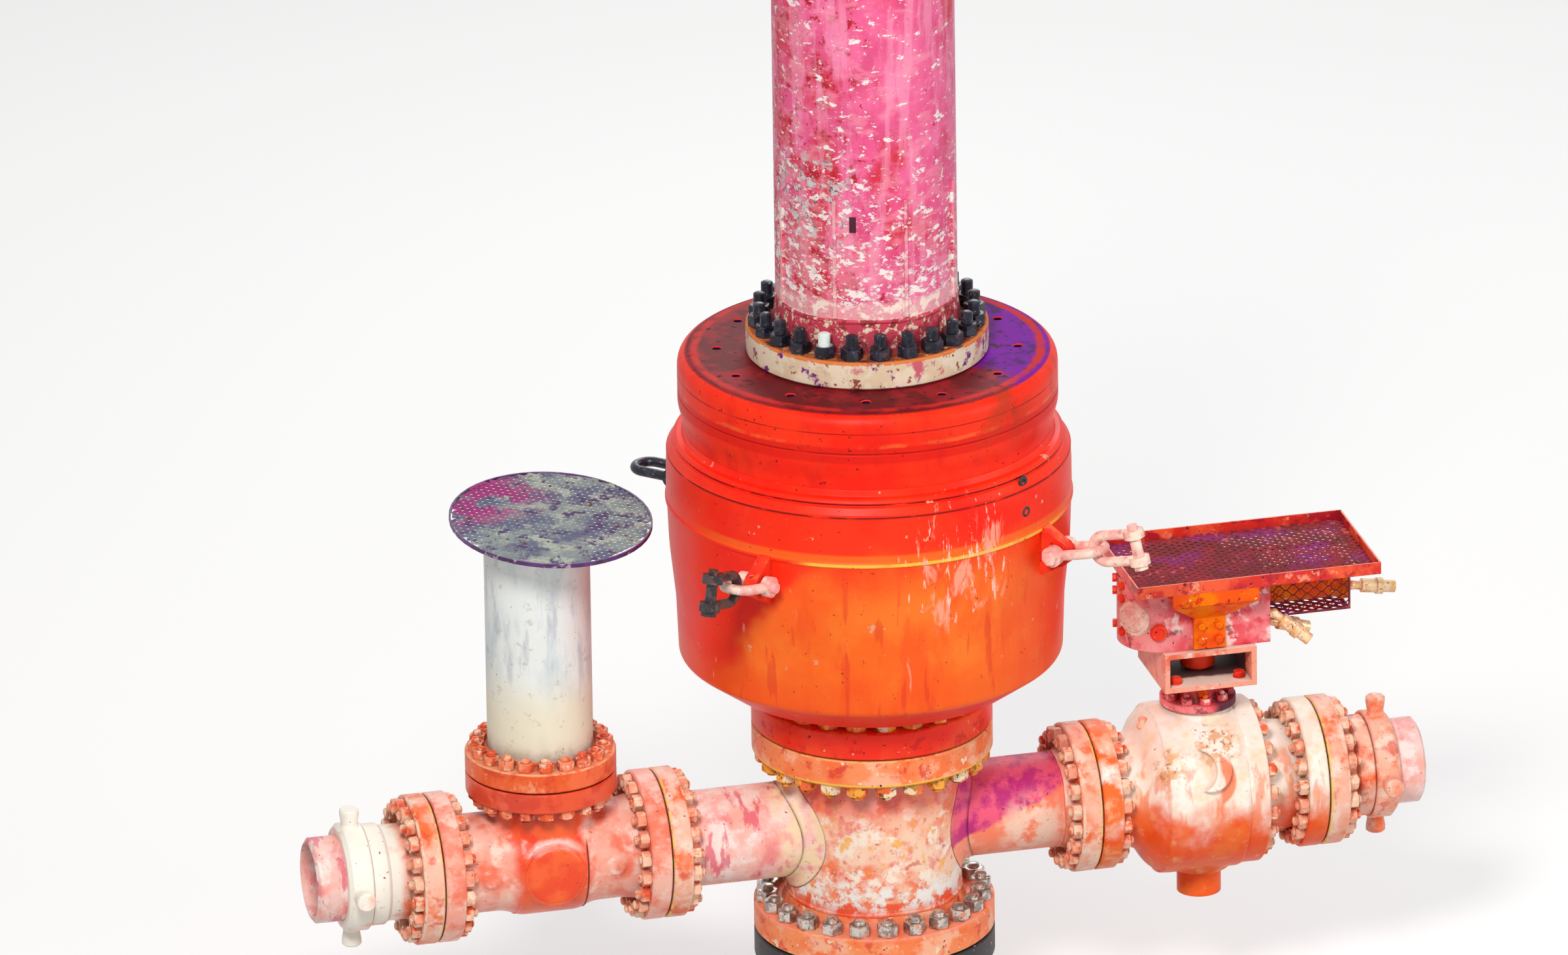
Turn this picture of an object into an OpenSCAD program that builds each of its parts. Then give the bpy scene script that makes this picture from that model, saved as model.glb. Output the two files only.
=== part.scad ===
// Oil wellhead stack: casing head, outlet spool, annular preventer and riser, with a branch tee
// on the left outlet and an actuated ball valve on the right one.
// Origin: centre of the casing head's lower face. +Z is up, +X runs along the right outlet.

/* [Well bore and its flanges] */
// Bore through the whole stack
well_bore = 539.75; // [500:0.25:560]
// Outside diameter of a well flange
well_flange_od = 812.8; // [790:0.1:840]
// Thickness of a well flange
well_flange_t = 98.4; // [80:0.1:110]
// Bolt circle of a well flange
well_bolt_circle = 723.9; // [710:0.1:730]
// How far the foot of a well flange's hub stands out beyond its pipe
well_hub_step = 15; // [8:1:24]
// Number of studs in a well flange
well_bolts = 24; // [16:4:24]
// Stud hole in a well flange
well_hole_d = 44.5; // [36:0.5:48]
// Outside diameter of the raised face of a well flange
well_face_d = 635; // [600:1:660]
// Height of every raised face
face_h = 3; // [1:0.5:5]

/* [Side line and its flanges] */
// Bore of the side lines
line_bore = 279.4; // [250:0.1:282]
// Outside diameter of the side outlets
line_pipe_od = 323.9; // [310:0.1:335]
// Outside diameter of a line flange
line_flange_od = 508; // [480:1:530]
// Thickness of a line flange
line_flange_t = 71.4; // [60:0.1:80]
// Bolt circle of a line flange
line_bolt_circle = 431.8; // [420:0.1:440]
// Number of studs in a line flange
line_bolts = 20; // [12:4:20]
// Stud hole in a line flange
line_hole_d = 35; // [28:0.5:38]
// Outside diameter of the raised face of a line flange
line_face_d = 352; // [340:1:370]
// Length of the tapered hub behind a line flange
line_hub_h = 42; // [30:1:60]
// How far the foot of a line flange's hub stands out beyond its pipe
line_hub_step = 12; // [6:1:16]

/* [Heights] */
// Height of the casing head
casing_h = 450; // [400:5:600]
// Height of the outlet spool
spool_h = 747; // [700:1:900]
// Height of the preventer
preventer_h = 1333; // [1250:1:1450]
// Height of the riser joint
riser_h = 1600; // [1200:10:2500]

/* [Barrels] */
// Outside diameter of the casing head's neck
casing_neck_od = 610; // [595:1:640]
// Outside diameter of the spool's barrel
spool_barrel_od = 592; // [585:1:620]
// Length of the tapered hub on the spool's flanges
spool_hub_h = 40; // [30:1:60]
// Outside diameter of the riser pipe
riser_od = 609.6; // [595:0.1:620]
// Bore of the riser pipe
riser_bore = 558.8; // [545:0.1:570]
// Length of the tapered hub on the riser's flanges
riser_hub_h = 105; // [80:1:130]
// Distance of the guide ribs above the riser's lower end
rib_base = 216; // [206:1:400]

/* [Riser ribs] */
// Number of guide ribs round the riser
rib_count = 8; // [4:1:12]
// Width of a guide rib along the pipe's skin
rib_w = 12; // [8:1:20]
// How far a guide rib stands out from the pipe
rib_out = 9; // [5:1:14]
// Length of a guide rib
rib_h = 417; // [300:1:600]
// Direction of the first guide rib
rib_turn = 11; // [0:1:44]

/* [Preventer] */
// Radius of the cap at its widest
cap_r = 637; // [625:1:660]
// Radius of the cap's flat top
cap_top_r = 584; // [560:1:600]
// Height of the rounded shoulder of the cap
cap_shoulder_h = 62; // [40:1:80]
// Height of the cap above the body
cap_h = 270; // [240:1:300]
// Radius of the waist where the cap meets the body
cap_waist_r = 619; // [605:1:624]
// Radius of the body at its belt
body_r = 684; // [675:1:700]
// Radius of the body at its lower edge
body_low_r = 649; // [640:1:665]
// Radius of the body's flat underside
body_under_r = 500; // [480:1:560]
// Height of the slanted underside of the body
body_slant_h = 104; // [80:1:130]
// Free height for the stud nuts under the body
nut_gap_h = 61; // [55:1:75]
// Radius of the neck between the base flange and the body
neck_r = 320; // [310:1:328]
// Height of the belt ridge above the preventer's base
belt_h = 810; // [780:1:840]
// How far the belt ridge stands out from the body below it
belt_step = 4; // [2:0.5:8]
// Width of the belt ridge
belt_w = 12; // [8:1:20]
// Height of the groove between the body and the cap
seam_h = 22; // [14:1:30]
// Depth of the groove between the body and the cap
seam_depth = 46; // [40:1:50]
// Rounding height of the body's upper shoulder
body_round = 75; // [50:1:90]
// Height of the straight waist at the cap's foot
waist_h = 30; // [20:1:50]
// Height of the cone from the cap's waist to its widest part
waist_cone_h = 62; // [40:1:80]
// Circle of the tapped lifting holes in the cap's top
jack_circle = 1006; // [960:1:1050]
// Number of tapped lifting holes in the cap's top
jack_holes = 12; // [4:4:24]
// Diameter of a tapped lifting hole
jack_hole_d = 30; // [20:1:40]
// Depth of a tapped lifting hole
jack_hole_depth = 40; // [20:1:80]
// Outside radius of the rubber packing unit
packing_r = 480; // [440:1:500]
// Height of the rubber packing unit
packing_h = 190; // [150:1:210]
// How far the packing unit reaches down into the body
packing_drop = 60; // [40:1:100]

/* [Lifting eyes and shackles] */
// Distance of each eye's hole from the body's belt
eye_out = 54; // [50:1:66]
// Height of the eyes' holes above the preventer's base
eye_z = 738; // [700:1:780]
// Thickness of an eye plate
eye_t = 45; // [35:1:50]
// Radius of the rounded end of an eye plate
eye_end_r = 47; // [40:1:52]
// Height of an eye plate where it meets the body
eye_root_h = 170; // [130:1:200]
// How far the slanted edges of an eye plate run past its pin hole
eye_nose = 12; // [6:1:18]
// Diameter of a shackle pin
pin_d = 38; // [30:1:42]
// Running clearance round a shackle pin
pin_gap = 0.25; // [0.1:0.05:0.4]
// Diameter of a shackle's bar
bar_d = 34; // [28:1:38]
// Free width between a shackle's lugs
jaw_w = 60; // [56:1:70]
// Distance from the pin's centre to the inside of the bow
bow_in = 152; // [140:1:170]
// Outside diameter of a shackle's lugs
shackle_lug_d = 70; // [62:1:76]
// Width across the corners of a pin's hexagonal head
pin_head_d = 52; // [46:1:60]
// Thickness of a pin's head
pin_head_h = 17; // [14:1:24]
// Upward tilt of the shackles that are held out
shackle_tilt = 14; // [0:1:20]
// Gap between two shackles that hook into each other
link_gap = 0.3; // [0.1:0.1:1]

/* [Branch tee] */
// Distance of the left outlet's flange face from the well's axis
left_reach = 756; // [720:1:800]
// Length of the tee's run between its flange faces
tee_run = 784; // [760:1:860]
// Height of the tee's branch face above the line's axis
tee_branch = 322; // [310:1:360]
// Outside radius of the tee's barrel
tee_r = 166; // [160:1:172]
// Half length of the tee's thicker middle
tee_mid = 118; // [100:1:140]
// Outside radius of the tee's middle
tee_mid_r = 186; // [178:1:195]
// Diameter of the round boss on the tee's front
tee_boss_d = 208; // [180:1:230]
// How far the tee's front boss stands out from its middle
tee_boss_out = 8; // [4:1:14]
// Distance of the tee's two threaded plugs from its middle
plug_spread = 216; // [180:1:250]
// Diameter of the bosses round the threaded plugs
plug_boss_d = 56; // [40:1:70]
// How far the plugs' bosses stand out from the barrel
plug_boss_out = 7; // [4:1:14]
// Outside diameter of the upright branch cylinder
cylinder_od = 355.6; // [340:0.1:370]
// Bore of the upright branch cylinder
cylinder_bore = 330; // [310:1:335]
// Height of the branch cylinder above its flange
cylinder_h = 804; // [600:1:1000]
// Thickness of the plate that closes the cylinder
cap_plate_t = 12; // [8:1:20]

/* [Step on the branch] */
// Half width of the oval step across the line
step_a = 335; // [300:1:400]
// Half depth of the oval step
step_b = 425; // [350:1:450]
// How far the step sits to the right of the cylinder's axis
step_shift = 50; // [0:1:80]
// Thickness of the expanded metal sheets
mesh_t = 5; // [4:1:8]
// Height of the step's flat rim
step_rim_h = 14; // [10:1:25]
// Thickness of the step's flat rim
step_rim_t = 6; // [4:1:10]

/* [Hammer unions] */
// Distance from the left end flange's face to the middle of its union nut
left_union_reach = 271; // [250:1:320]
// Distance from the right end flange's face to the middle of its union nut
right_union_reach = 226; // [220:1:300]
// Outside diameter of the collar in front of a union nut
union_collar_od = 345; // [335:1:360]
// Length of the collar in front of a union nut
union_collar_w = 66; // [40:1:80]
// Length of the sloped shoulder at the collar's front
union_collar_slope = 12; // [6:1:20]
// Outside diameter of a union nut
union_nut_od = 368; // [362:1:385]
// Length of a union nut
union_nut_w = 84; // [70:1:100]
// Number of hammer lugs on a union nut
lug_count = 4; // [3:1:4]
// Diameter of a hammer lug
lug_d = 66; // [50:1:74]
// How far a hammer lug stands out from its nut
lug_out = 62; // [40:1:80]
// Chamfer at the outer end of a union nut
nut_chamfer = 14; // [8:1:20]
// Widening of a hammer lug at its foot
lug_flare = 6; // [3:1:10]
// Outside diameter of the tail that the next pipe is welded to
tail_od = 290; // [284:1:300]
// Length of the tail beyond its union nut
tail_l = 100; // [60:1:200]
// Bore of the tail
tail_bore = 255.4; // [240:0.1:268]
// Length of the weld bevel at the tail's end
tail_bevel = 10; // [6:1:14]

/* [Ball valve] */
// Distance of the right outlet's flange face from the well's axis
right_reach = 739; // [720:1:800]
// Length of the valve between its flange faces
valve_run = 793; // [780:1:860]
// Outside radius of the valve's body
valve_r = 288; // [280:1:300]
// Length of the valve's body with its closure
valve_body_l = 360; // [350:1:380]
// Outside radius of the valve's neck
valve_neck_r = 184; // [176:1:196]
// Rounding of the body's left shoulder
valve_round = 75; // [50:1:90]
// Length of the taper from the neck to the rounded shoulder
valve_taper = 60; // [40:1:80]
// Thickness of the bolted closure on the right of the body
closure_t = 72; // [60:1:80]
// How far the closure's rim stays inside the body's
closure_step = 4; // [2:0.5:8]
// Diameter of the bosses that carry the stem's housing
bonnet_d = 202; // [196:1:230]
// Height of the bosses above the body's barrel
bonnet_out = 14; // [8:1:24]
// Outside diameter of the crescent lug on the body's front
crescent_d = 150; // [120:1:170]
// Thickness of the crescent lug
crescent_t = 46; // [30:1:60]
// Direction of the crescent lug above the horizontal, seen from the line's end
crescent_turn = 30; // [20:1:40]
// How far the crescent lug's circle lies to the left of the valve's middle
crescent_shift = 30; // [20:1:40]
// Radius of the ball
ball_r = 208; // [204:1:214]
// Clearance between the ball and the body
ball_gap = 0.3; // [0.2:0.1:1]
// Diameter of the stem
stem_d = 76; // [60:1:90]
// Clearance round the stem
stem_gap = 0.25; // [0.1:0.05:0.4]
// How far the stem reaches into the ball and up into the actuator
stem_seat = 20; // [12:1:26]
// Diameter of the stem's housing
housing_d = 158; // [140:1:180]
// Height of the stem's housing above the line's axis
housing_z = 408; // [395:1:425]
// Diameter of the flange at the housing's foot
housing_flange_d = 258; // [230:1:270]
// Thickness of the flange at the housing's foot
housing_flange_t = 24; // [16:1:32]
// Diameter of the lower trunnion
trunnion_d = 150; // [130:1:170]
// Distance of the lower trunnion's end below the line's axis
trunnion_z = 388; // [360:1:400]

/* [Actuator] */
// Width of the actuator's bracket along the line
bracket_w = 320; // [300:1:350]
// Height of the actuator's bracket
bracket_h = 140; // [125:1:170]
// Depth of the actuator's bracket across the line
bracket_d = 350; // [320:1:400]
// Wall of the actuator's bracket
bracket_wall = 18; // [12:1:24]
// Diameter of the coupling on the stem
coupling_d = 118; // [100:1:140]
// Free height above and below the coupling
coupling_gap = 12; // [8:1:18]
// Width of the actuator's housing along the line
actuator_w = 430; // [400:1:470]
// Depth of the actuator's housing across the line
actuator_d = 300; // [260:1:320]
// Height of the actuator's housing
actuator_h = 236; // [200:1:270]
// How far the stem reaches up into the housing
stem_reach = 60; // [40:1:90]
// How far the housing's rounded end stands back from its left side
actuator_set = 60; // [40:1:80]
// Diameter of the hydraulic cylinder
ram_d = 116; // [90:1:130]
// Length of the hydraulic cylinder
ram_l = 300; // [250:1:400]
// How far the cylinder's end rings stand out
ram_ring_out = 11; // [6:1:16]
// Width of the cylinder's end rings
ram_ring_w = 24; // [16:1:32]
// Height of the hydraulic cylinder's axis above the bracket
ram_z = 140; // [120:1:160]
// Clearance between the hydraulic cylinder and its guard
guard_gap = 18; // [14:1:24]
// Thickness of the guard's sheet
guard_t = 5; // [4:1:8]

/* [Service platform] */
// Width of the platform along the line
platform_w = 850; // [800:1:1000]
// Depth of the platform across the line
platform_d = 500; // [450:1:600]
// How far the platform's middle lies to the right of the valve
platform_shift = 150; // [100:1:180]
// Leg of the platform's angle iron
angle_leg = 42; // [30:1:60]
// Thickness of the platform's angle iron
angle_t = 6; // [4:1:8]
// Thickness of the plate that carries the platform in front
hanger_t = 12; // [8:1:16]
// Width of the hanger's bolted neck
hanger_neck_w = 110; // [90:1:130]
// Width of the hanger's wide top
hanger_top_w = 300; // [260:1:340]
// Height of the hanger's upright lip under the platform's rim
hanger_lip_h = 46; // [30:1:70]
// Height above the housing's foot at which the apron starts
hanger_neck_h = 118; // [90:1:140]
// Gap between the actuator's housing and the platform
platform_gap = 8; // [5:1:14]

/* [Hose couplings] */
// Diameter of a coupling's threaded ports
port_d = 30; // [24:1:34]
// Length of a port before its elbow
port_l = 26; // [20:1:40]
// Length of the tube between the elbow and the coupling
coupling_tube_l = 34; // [24:1:50]
// Diameter of the coupling's hexagonal sleeve
sleeve_d = 48; // [40:1:54]
// Length of the coupling's sleeve
sleeve_l = 52; // [40:1:70]
// Diameter of the coupling's locking ring
ring_d = 56; // [50:1:64]
// Length of the coupling's locking ring
ring_l = 22; // [14:1:30]
// Diameter of the hose end
hose_end_d = 42; // [34:1:46]
// Length of the hose end
hose_end_l = 44; // [30:1:60]

/* [Hidden] */
$fn = 96;

// Chamfer of machined edges, and how far a cutting body runs past what it cuts
edge = 5;
cut = 1;

// Heights of the seams between the stacked pieces
spool_z = casing_h;
line_z = spool_z + spool_h / 2;
preventer_z = spool_z + spool_h;
riser_z = preventer_z + preventer_h;
riser_top_z = riser_z + riser_h;

// Heights inside the preventer
body_z0 = preventer_z + well_flange_t + nut_gap_h;
cap_z0 = riser_z - cap_h;
belt_z = preventer_z + belt_h;
eyes_z = preventer_z + eye_z;
eye_r = body_r + eye_out;
packing_z = cap_z0 - packing_drop;

// Places along the side lines
tee_x = -left_reach - tee_run / 2;
left_end_x = -left_reach - tee_run;
valve_x = right_reach + valve_run / 2;
valve_half = valve_body_l / 2;
right_end_x = right_reach + valve_run;

// Heights above the valve
housing_top_z = line_z + housing_z;
bracket_z = housing_top_z;
actuator_z = bracket_z + bracket_h;
platform_z = actuator_z + actuator_h + platform_gap;
housing_end_x = valve_x + actuator_w / 2;
cylinder_z = line_z + tee_branch + line_flange_t;
cylinder_top_z = cylinder_z + cylinder_h;
step_z = cylinder_top_z + cap_plate_t;

well_red = [0.85, 0.2, 0.1];
faded = [0.93, 0.6, 0.5];
orange = [0.93, 0.38, 0.16];
rose = [0.82, 0.32, 0.38];
dark = [0.12, 0.11, 0.12];
pale = [0.85, 0.86, 0.88];
steel = [0.6, 0.58, 0.56];
brass = [0.85, 0.7, 0.5];

// Profile points of a flange from its raised face to the back of its rim
function rim(face_d, od, t) = [[face_d / 2, 0], [face_d / 2, face_h], [od / 2 - edge, face_h],
    [od / 2, face_h + edge], [od / 2, t - edge], [od / 2 - edge, t]];

function line_rim() = rim(line_face_d, line_flange_od, line_flange_t);

// Holes on a circle, drilled upward from z = 0 and straddling the X axis
module hole_ring(circle_d, count, hole_d, depth) {
    for (i = [0 : count - 1])
        rotate([0, 0, (i + 0.5) * 360 / count])
            translate([circle_d / 2, 0, -cut])
                cylinder(d = hole_d, h = depth + 2 * cut);
}

// Flange with its face on z = 0 and its tapered hub above, bored through
module neck_flange(od, t, face_d, bore, circle_d, count, hole_d, hub_d, pipe_d, hub_h) {
    difference() {
        rotate_extrude()
            polygon(concat([[bore / 2, 0]], rim(face_d, od, t),
                [[hub_d / 2, t], [pipe_d / 2, t + hub_h], [bore / 2, t + hub_h]]));
        hole_ring(circle_d, count, hole_d, t);
    }
}

module well_flange(hub_d, pipe_d, hub_h, bore) {
    neck_flange(well_flange_od, well_flange_t, well_face_d, bore, well_bolt_circle, well_bolts,
        well_hole_d, hub_d, pipe_d, hub_h);
}

module line_flange(pipe_d) {
    neck_flange(line_flange_od, line_flange_t, line_face_d, line_bore, line_bolt_circle, line_bolts,
        line_hole_d, pipe_d + 2 * line_hub_step, pipe_d, line_hub_h);
}

module line_holes() {
    hole_ring(line_bolt_circle, line_bolts, line_hole_d, line_flange_t);
}

// Turns a shape's Z axis to +X or -X and sets its base at the given place on the line's axis
module along_x(x, side) {
    translate([x, 0, line_z]) rotate([0, side * 90, 0]) children();
}

module casing_base_flange() {
    color(dark) well_flange(casing_neck_od + 2 * well_hub_step, casing_neck_od, spool_hub_h, well_bore);
}

module casing_neck() {
    end = well_flange_t + spool_hub_h;
    color(dark) translate([0, 0, end]) difference() {
        cylinder(d = casing_neck_od, h = casing_h - 2 * end);
        translate([0, 0, -cut]) cylinder(d = well_bore, h = casing_h);
    }
}

module casing_top_flange() {
    color(dark) translate([0, 0, casing_h]) mirror([0, 0, 1])
        well_flange(casing_neck_od + 2 * well_hub_step, casing_neck_od, spool_hub_h, well_bore);
}

module spool_base_flange() {
    color(faded) translate([0, 0, spool_z])
        well_flange(spool_barrel_od + 2 * well_hub_step, spool_barrel_od, spool_hub_h, well_bore);
}

module spool_top_flange() {
    color(orange) translate([0, 0, preventer_z]) mirror([0, 0, 1])
        well_flange(spool_barrel_od + 2 * well_hub_step, spool_barrel_od, spool_hub_h, well_bore);
}

module spool_barrel() {
    end = well_flange_t + spool_hub_h;
    color(faded) difference() {
        translate([0, 0, spool_z + end]) difference() {
            cylinder(d = spool_barrel_od, h = spool_h - 2 * end);
            translate([0, 0, -cut]) cylinder(d = well_bore, h = spool_h);
        }
        along_x(-spool_barrel_od, 1) cylinder(d = line_bore, h = 2 * spool_barrel_od);
    }
}

// Outlet pipe from the barrel's skin to the hub of its flange
module outlet_pipe(reach, side) {
    difference() {
        along_x(0, side) difference() {
            cylinder(d = line_pipe_od, h = reach - line_flange_t - line_hub_h);
            translate([0, 0, -cut]) cylinder(d = line_bore, h = reach);
        }
        translate([0, 0, spool_z]) cylinder(d = spool_barrel_od, h = spool_h);
    }
}

module left_outlet_pipe() {
    color(rose) outlet_pipe(left_reach, -1);
}

module right_outlet_pipe() {
    color(rose) outlet_pipe(right_reach, 1);
}

module left_outlet_flange() {
    color(orange) along_x(-left_reach, 1) line_flange(line_pipe_od);
}

module right_outlet_flange() {
    color(orange) along_x(right_reach, -1) line_flange(line_pipe_od);
}

module preventer_base_flange() {
    color(well_red) translate([0, 0, preventer_z])
        well_flange(2 * neck_r, 2 * neck_r, nut_gap_h, well_bore);
}

// Outside form of the preventer's body, solid to the axis
module body_form() {
    lip_z = cap_z0 - seam_h;
    slant_top = body_z0 + body_slant_h;
    round_r = seam_depth - belt_step;
    rotate_extrude()
        polygon(concat(
            [[0, body_z0], [body_under_r, body_z0], [body_low_r - 2 * edge, slant_top - edge],
                [body_low_r, slant_top + edge]],
            [[body_r - belt_step, belt_z], [body_r, belt_z + belt_w / 3], [body_r, belt_z + belt_w]],
            [for (a = [0 : 15 : 75]) [body_r - belt_step - round_r + round_r * cos(a),
                lip_z - body_round + body_round * sin(a)]],
            [[body_r - seam_depth, lip_z], [body_r - seam_depth - edge, cap_z0 - edge],
                [cap_waist_r, cap_z0], [0, cap_z0]]));
}

module preventer_body() {
    color(well_red) difference() {
        body_form();
        translate([0, 0, body_z0 - cut]) cylinder(d = well_bore, h = preventer_h);
        translate([0, 0, packing_z]) cylinder(r = packing_r, h = packing_h);
    }
}

module preventer_cap() {
    shoulder = cap_r - cap_top_r;
    color([0.75, 0.16, 0.12]) difference() {
        translate([0, 0, cap_z0]) rotate_extrude()
            polygon(concat(
                [[well_bore / 2, 0], [cap_waist_r, 0], [cap_waist_r, waist_h],
                    [cap_r, waist_h + waist_cone_h], [cap_r, cap_h - cap_shoulder_h]],
                [for (a = [15 : 15 : 90])
                    [cap_top_r + shoulder * cos(a), cap_h - cap_shoulder_h + cap_shoulder_h * sin(a)]],
                [[well_bore / 2, cap_h]]));
        translate([0, 0, packing_z]) cylinder(r = packing_r, h = packing_h);
        translate([0, 0, riser_z - jack_hole_depth])
            hole_ring(jack_circle, jack_holes, jack_hole_d, jack_hole_depth);
    }
}

module packing_unit() {
    color([0.15, 0.14, 0.13]) translate([0, 0, packing_z]) difference() {
        cylinder(r = packing_r, h = packing_h);
        translate([0, 0, -cut]) cylinder(d = well_bore, h = packing_h + 2 * cut);
    }
}

// Upright plate with a round end and a pin hole, standing out from the body's skin
module lifting_eye() {
    nose_half = sqrt(pow(eye_end_r, 2) - pow(eye_nose, 2));
    difference() {
        translate([0, eye_t / 2, eyes_z]) rotate([90, 0, 0]) linear_extrude(eye_t)
            union() {
                translate([eye_r, 0]) circle(r = eye_end_r);
                polygon([[body_under_r, -eye_root_h / 2], [body_under_r, eye_root_h / 2],
                    [body_r, eye_root_h / 2], [eye_r + eye_nose, nose_half],
                    [eye_r + eye_nose, -nose_half], [body_r, -eye_root_h / 2]]);
            }
        translate([eye_r, 0, eyes_z]) rotate([90, 0, 0])
            cylinder(d = pin_d + 2 * pin_gap, h = 2 * eye_t, center = true);
    }
}

module lifting_eyes() {
    color(well_red) difference() {
        for (i = [0 : 3])
            rotate([0, 0, 45 + 90 * i]) lifting_eye();
        body_form();
    }
}

module riser_base_flange() {
    color(faded) translate([0, 0, riser_z])
        well_flange(riser_od + 2 * line_hub_step, riser_od, riser_hub_h, riser_bore);
}

module riser_top_flange() {
    color(rose) translate([0, 0, riser_top_z]) mirror([0, 0, 1])
        well_flange(riser_od + 2 * line_hub_step, riser_od, riser_hub_h, riser_bore);
}

module riser_pipe() {
    end = well_flange_t + riser_hub_h;
    rib_z = riser_z + rib_base;
    color(rose) difference() {
        union() {
            translate([0, 0, riser_z + end]) cylinder(d = riser_od, h = riser_h - 2 * end);
            for (i = [0 : rib_count - 1])
                rotate([0, 0, rib_turn + i * 360 / rib_count])
                    translate([0, -rib_w / 2, rib_z]) cube([riser_od / 2 + rib_out, rib_w, rib_h]);
        }
        translate([0, 0, riser_z]) cylinder(d = riser_bore, h = riser_h);
    }
}

// One flanged end of the tee, with its face on z = 0 and its barrel running up to the given height
module tee_end(reach) {
    rotate_extrude()
        polygon(concat([[0, 0]], line_rim(), [[tee_r + line_hub_step, line_flange_t],
            [tee_r, line_flange_t + line_hub_h], [tee_r, reach], [0, reach]]));
}

// Flanged tee forged in one piece
module branch_tee() {
    half = tee_run / 2;
    color(orange) difference() {
        union() {
            for (side = [-1, 1])
                along_x(tee_x + side * half, -side) tee_end(half);
            along_x(tee_x - tee_mid, 1) cylinder(r = tee_mid_r, h = 2 * tee_mid);
            translate([tee_x, 0, line_z + tee_branch]) mirror([0, 0, 1]) tee_end(tee_branch);
            translate([tee_x, 0, line_z]) rotate([90, 0, 0])
                cylinder(d = tee_boss_d, h = tee_mid_r + tee_boss_out);
            for (side = [-1, 1])
                translate([tee_x + side * plug_spread, 0, line_z]) rotate([90, 0, 0])
                    cylinder(d = plug_boss_d, h = tee_r + plug_boss_out);
        }
        along_x(left_end_x - cut, 1) cylinder(d = line_bore, h = tee_run + 2 * cut);
        translate([tee_x, 0, line_z]) cylinder(d = line_bore, h = tee_branch + cut);
        for (side = [-1, 1])
            along_x(tee_x + side * half, -side) line_holes();
        translate([tee_x, 0, line_z + tee_branch - line_flange_t]) line_holes();
    }
}

module branch_flange() {
    color(orange) translate([tee_x, 0, line_z + tee_branch])
        difference() {
            rotate_extrude()
                polygon(concat([[line_bore / 2, 0]], line_rim(), [[line_bore / 2, line_flange_t]]));
            line_holes();
        }
}

module branch_cylinder() {
    color(pale) translate([tee_x, 0, cylinder_z]) difference() {
        cylinder(d = cylinder_od, h = cylinder_h);
        translate([0, 0, -cut]) cylinder(d = cylinder_bore, h = cylinder_h + 2 * cut);
    }
}

module cylinder_end_plate() {
    color(pale) translate([tee_x, 0, cylinder_top_z]) cylinder(d = cylinder_od + 6, h = cap_plate_t);
}

function oval(a, b) = [for (t = [0 : 7.5 : 352.5]) [a * cos(t), b * sin(t)]];

module step_mesh() {
    color(steel) translate([tee_x + step_shift, 0, step_z]) linear_extrude(mesh_t)
        polygon(oval(step_a - step_rim_t, step_b - step_rim_t));
}

module step_rim() {
    color(steel) translate([tee_x + step_shift, 0, step_z - step_rim_h + mesh_t])
        linear_extrude(step_rim_h) difference() {
            polygon(oval(step_a, step_b));
            polygon(oval(step_a - step_rim_t, step_b - step_rim_t));
        }
}

// End flange with its neck and the collar that the union nut pulls on
module end_flange(reach) {
    neck_r0 = line_pipe_od / 2;
    collar_r = union_collar_od / 2;
    nut_start = reach - union_nut_w / 2;
    collar_z = nut_start - union_collar_w;
    difference() {
        rotate_extrude()
            polygon(concat([[line_bore / 2, 0]], line_rim(),
                [[neck_r0 + line_hub_step, line_flange_t], [neck_r0, line_flange_t + 2 * line_hub_step],
                    [neck_r0, collar_z], [collar_r - edge, collar_z + edge],
                    [collar_r, collar_z + union_collar_slope], [collar_r, nut_start - edge],
                    [collar_r - edge, nut_start], [line_bore / 2, nut_start]]));
        line_holes();
    }
}

// Nut with rounded hammer lugs, from z = 0 to its width
module union_nut() {
    nut_r = union_nut_od / 2;
    lug_r = lug_d / 2;
    foot = tail_od / 2 + edge;
    difference() {
        union() {
            rotate_extrude()
                polygon([[tail_od / 2, 0], [nut_r - edge, 0], [nut_r, edge],
                    [nut_r, union_nut_w - nut_chamfer], [nut_r - nut_chamfer, union_nut_w],
                    [tail_od / 2, union_nut_w]]);
            for (i = [0 : lug_count - 1])
                rotate([0, 0, i * 360 / lug_count]) translate([0, 0, union_nut_w / 2])
                    rotate([0, 90, 0]) rotate_extrude()
                        polygon([[0, foot], [lug_r + lug_flare, foot], [lug_r - edge, nut_r + 2 * edge],
                            [lug_r, nut_r + lug_out - 4 * edge], [lug_r, nut_r + lug_out - edge],
                            [lug_r - edge, nut_r + lug_out], [0, nut_r + lug_out]]);
        }
        translate([0, 0, -cut]) cylinder(d = tail_od, h = union_nut_w + 2 * cut);
    }
}

// Tail of the next pipe, from the collar's face through the nut to its bevelled end
module line_tail() {
    total = union_nut_w + tail_l;
    rotate_extrude()
        polygon([[tail_bore / 2, 0], [tail_od / 2, 0], [tail_od / 2, total - tail_bevel],
            [tail_bore / 2 + tail_bevel / 3, total], [tail_bore / 2, total]]);
}

module left_line_flange() {
    color(faded) along_x(left_end_x, -1) end_flange(left_union_reach);
}

module left_union_nut() {
    color(faded) along_x(left_end_x - left_union_reach + union_nut_w / 2, -1) union_nut();
}

module left_line_tail() {
    color(rose) along_x(left_end_x - left_union_reach + union_nut_w / 2, -1) line_tail();
}

module right_line_flange() {
    color(faded) along_x(right_end_x, 1) end_flange(right_union_reach);
}

module right_union_nut() {
    color(faded) along_x(right_end_x + right_union_reach - union_nut_w / 2, 1) union_nut();
}

module right_line_tail() {
    color(rose) along_x(right_end_x + right_union_reach - union_nut_w / 2, 1) line_tail();
}

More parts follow.
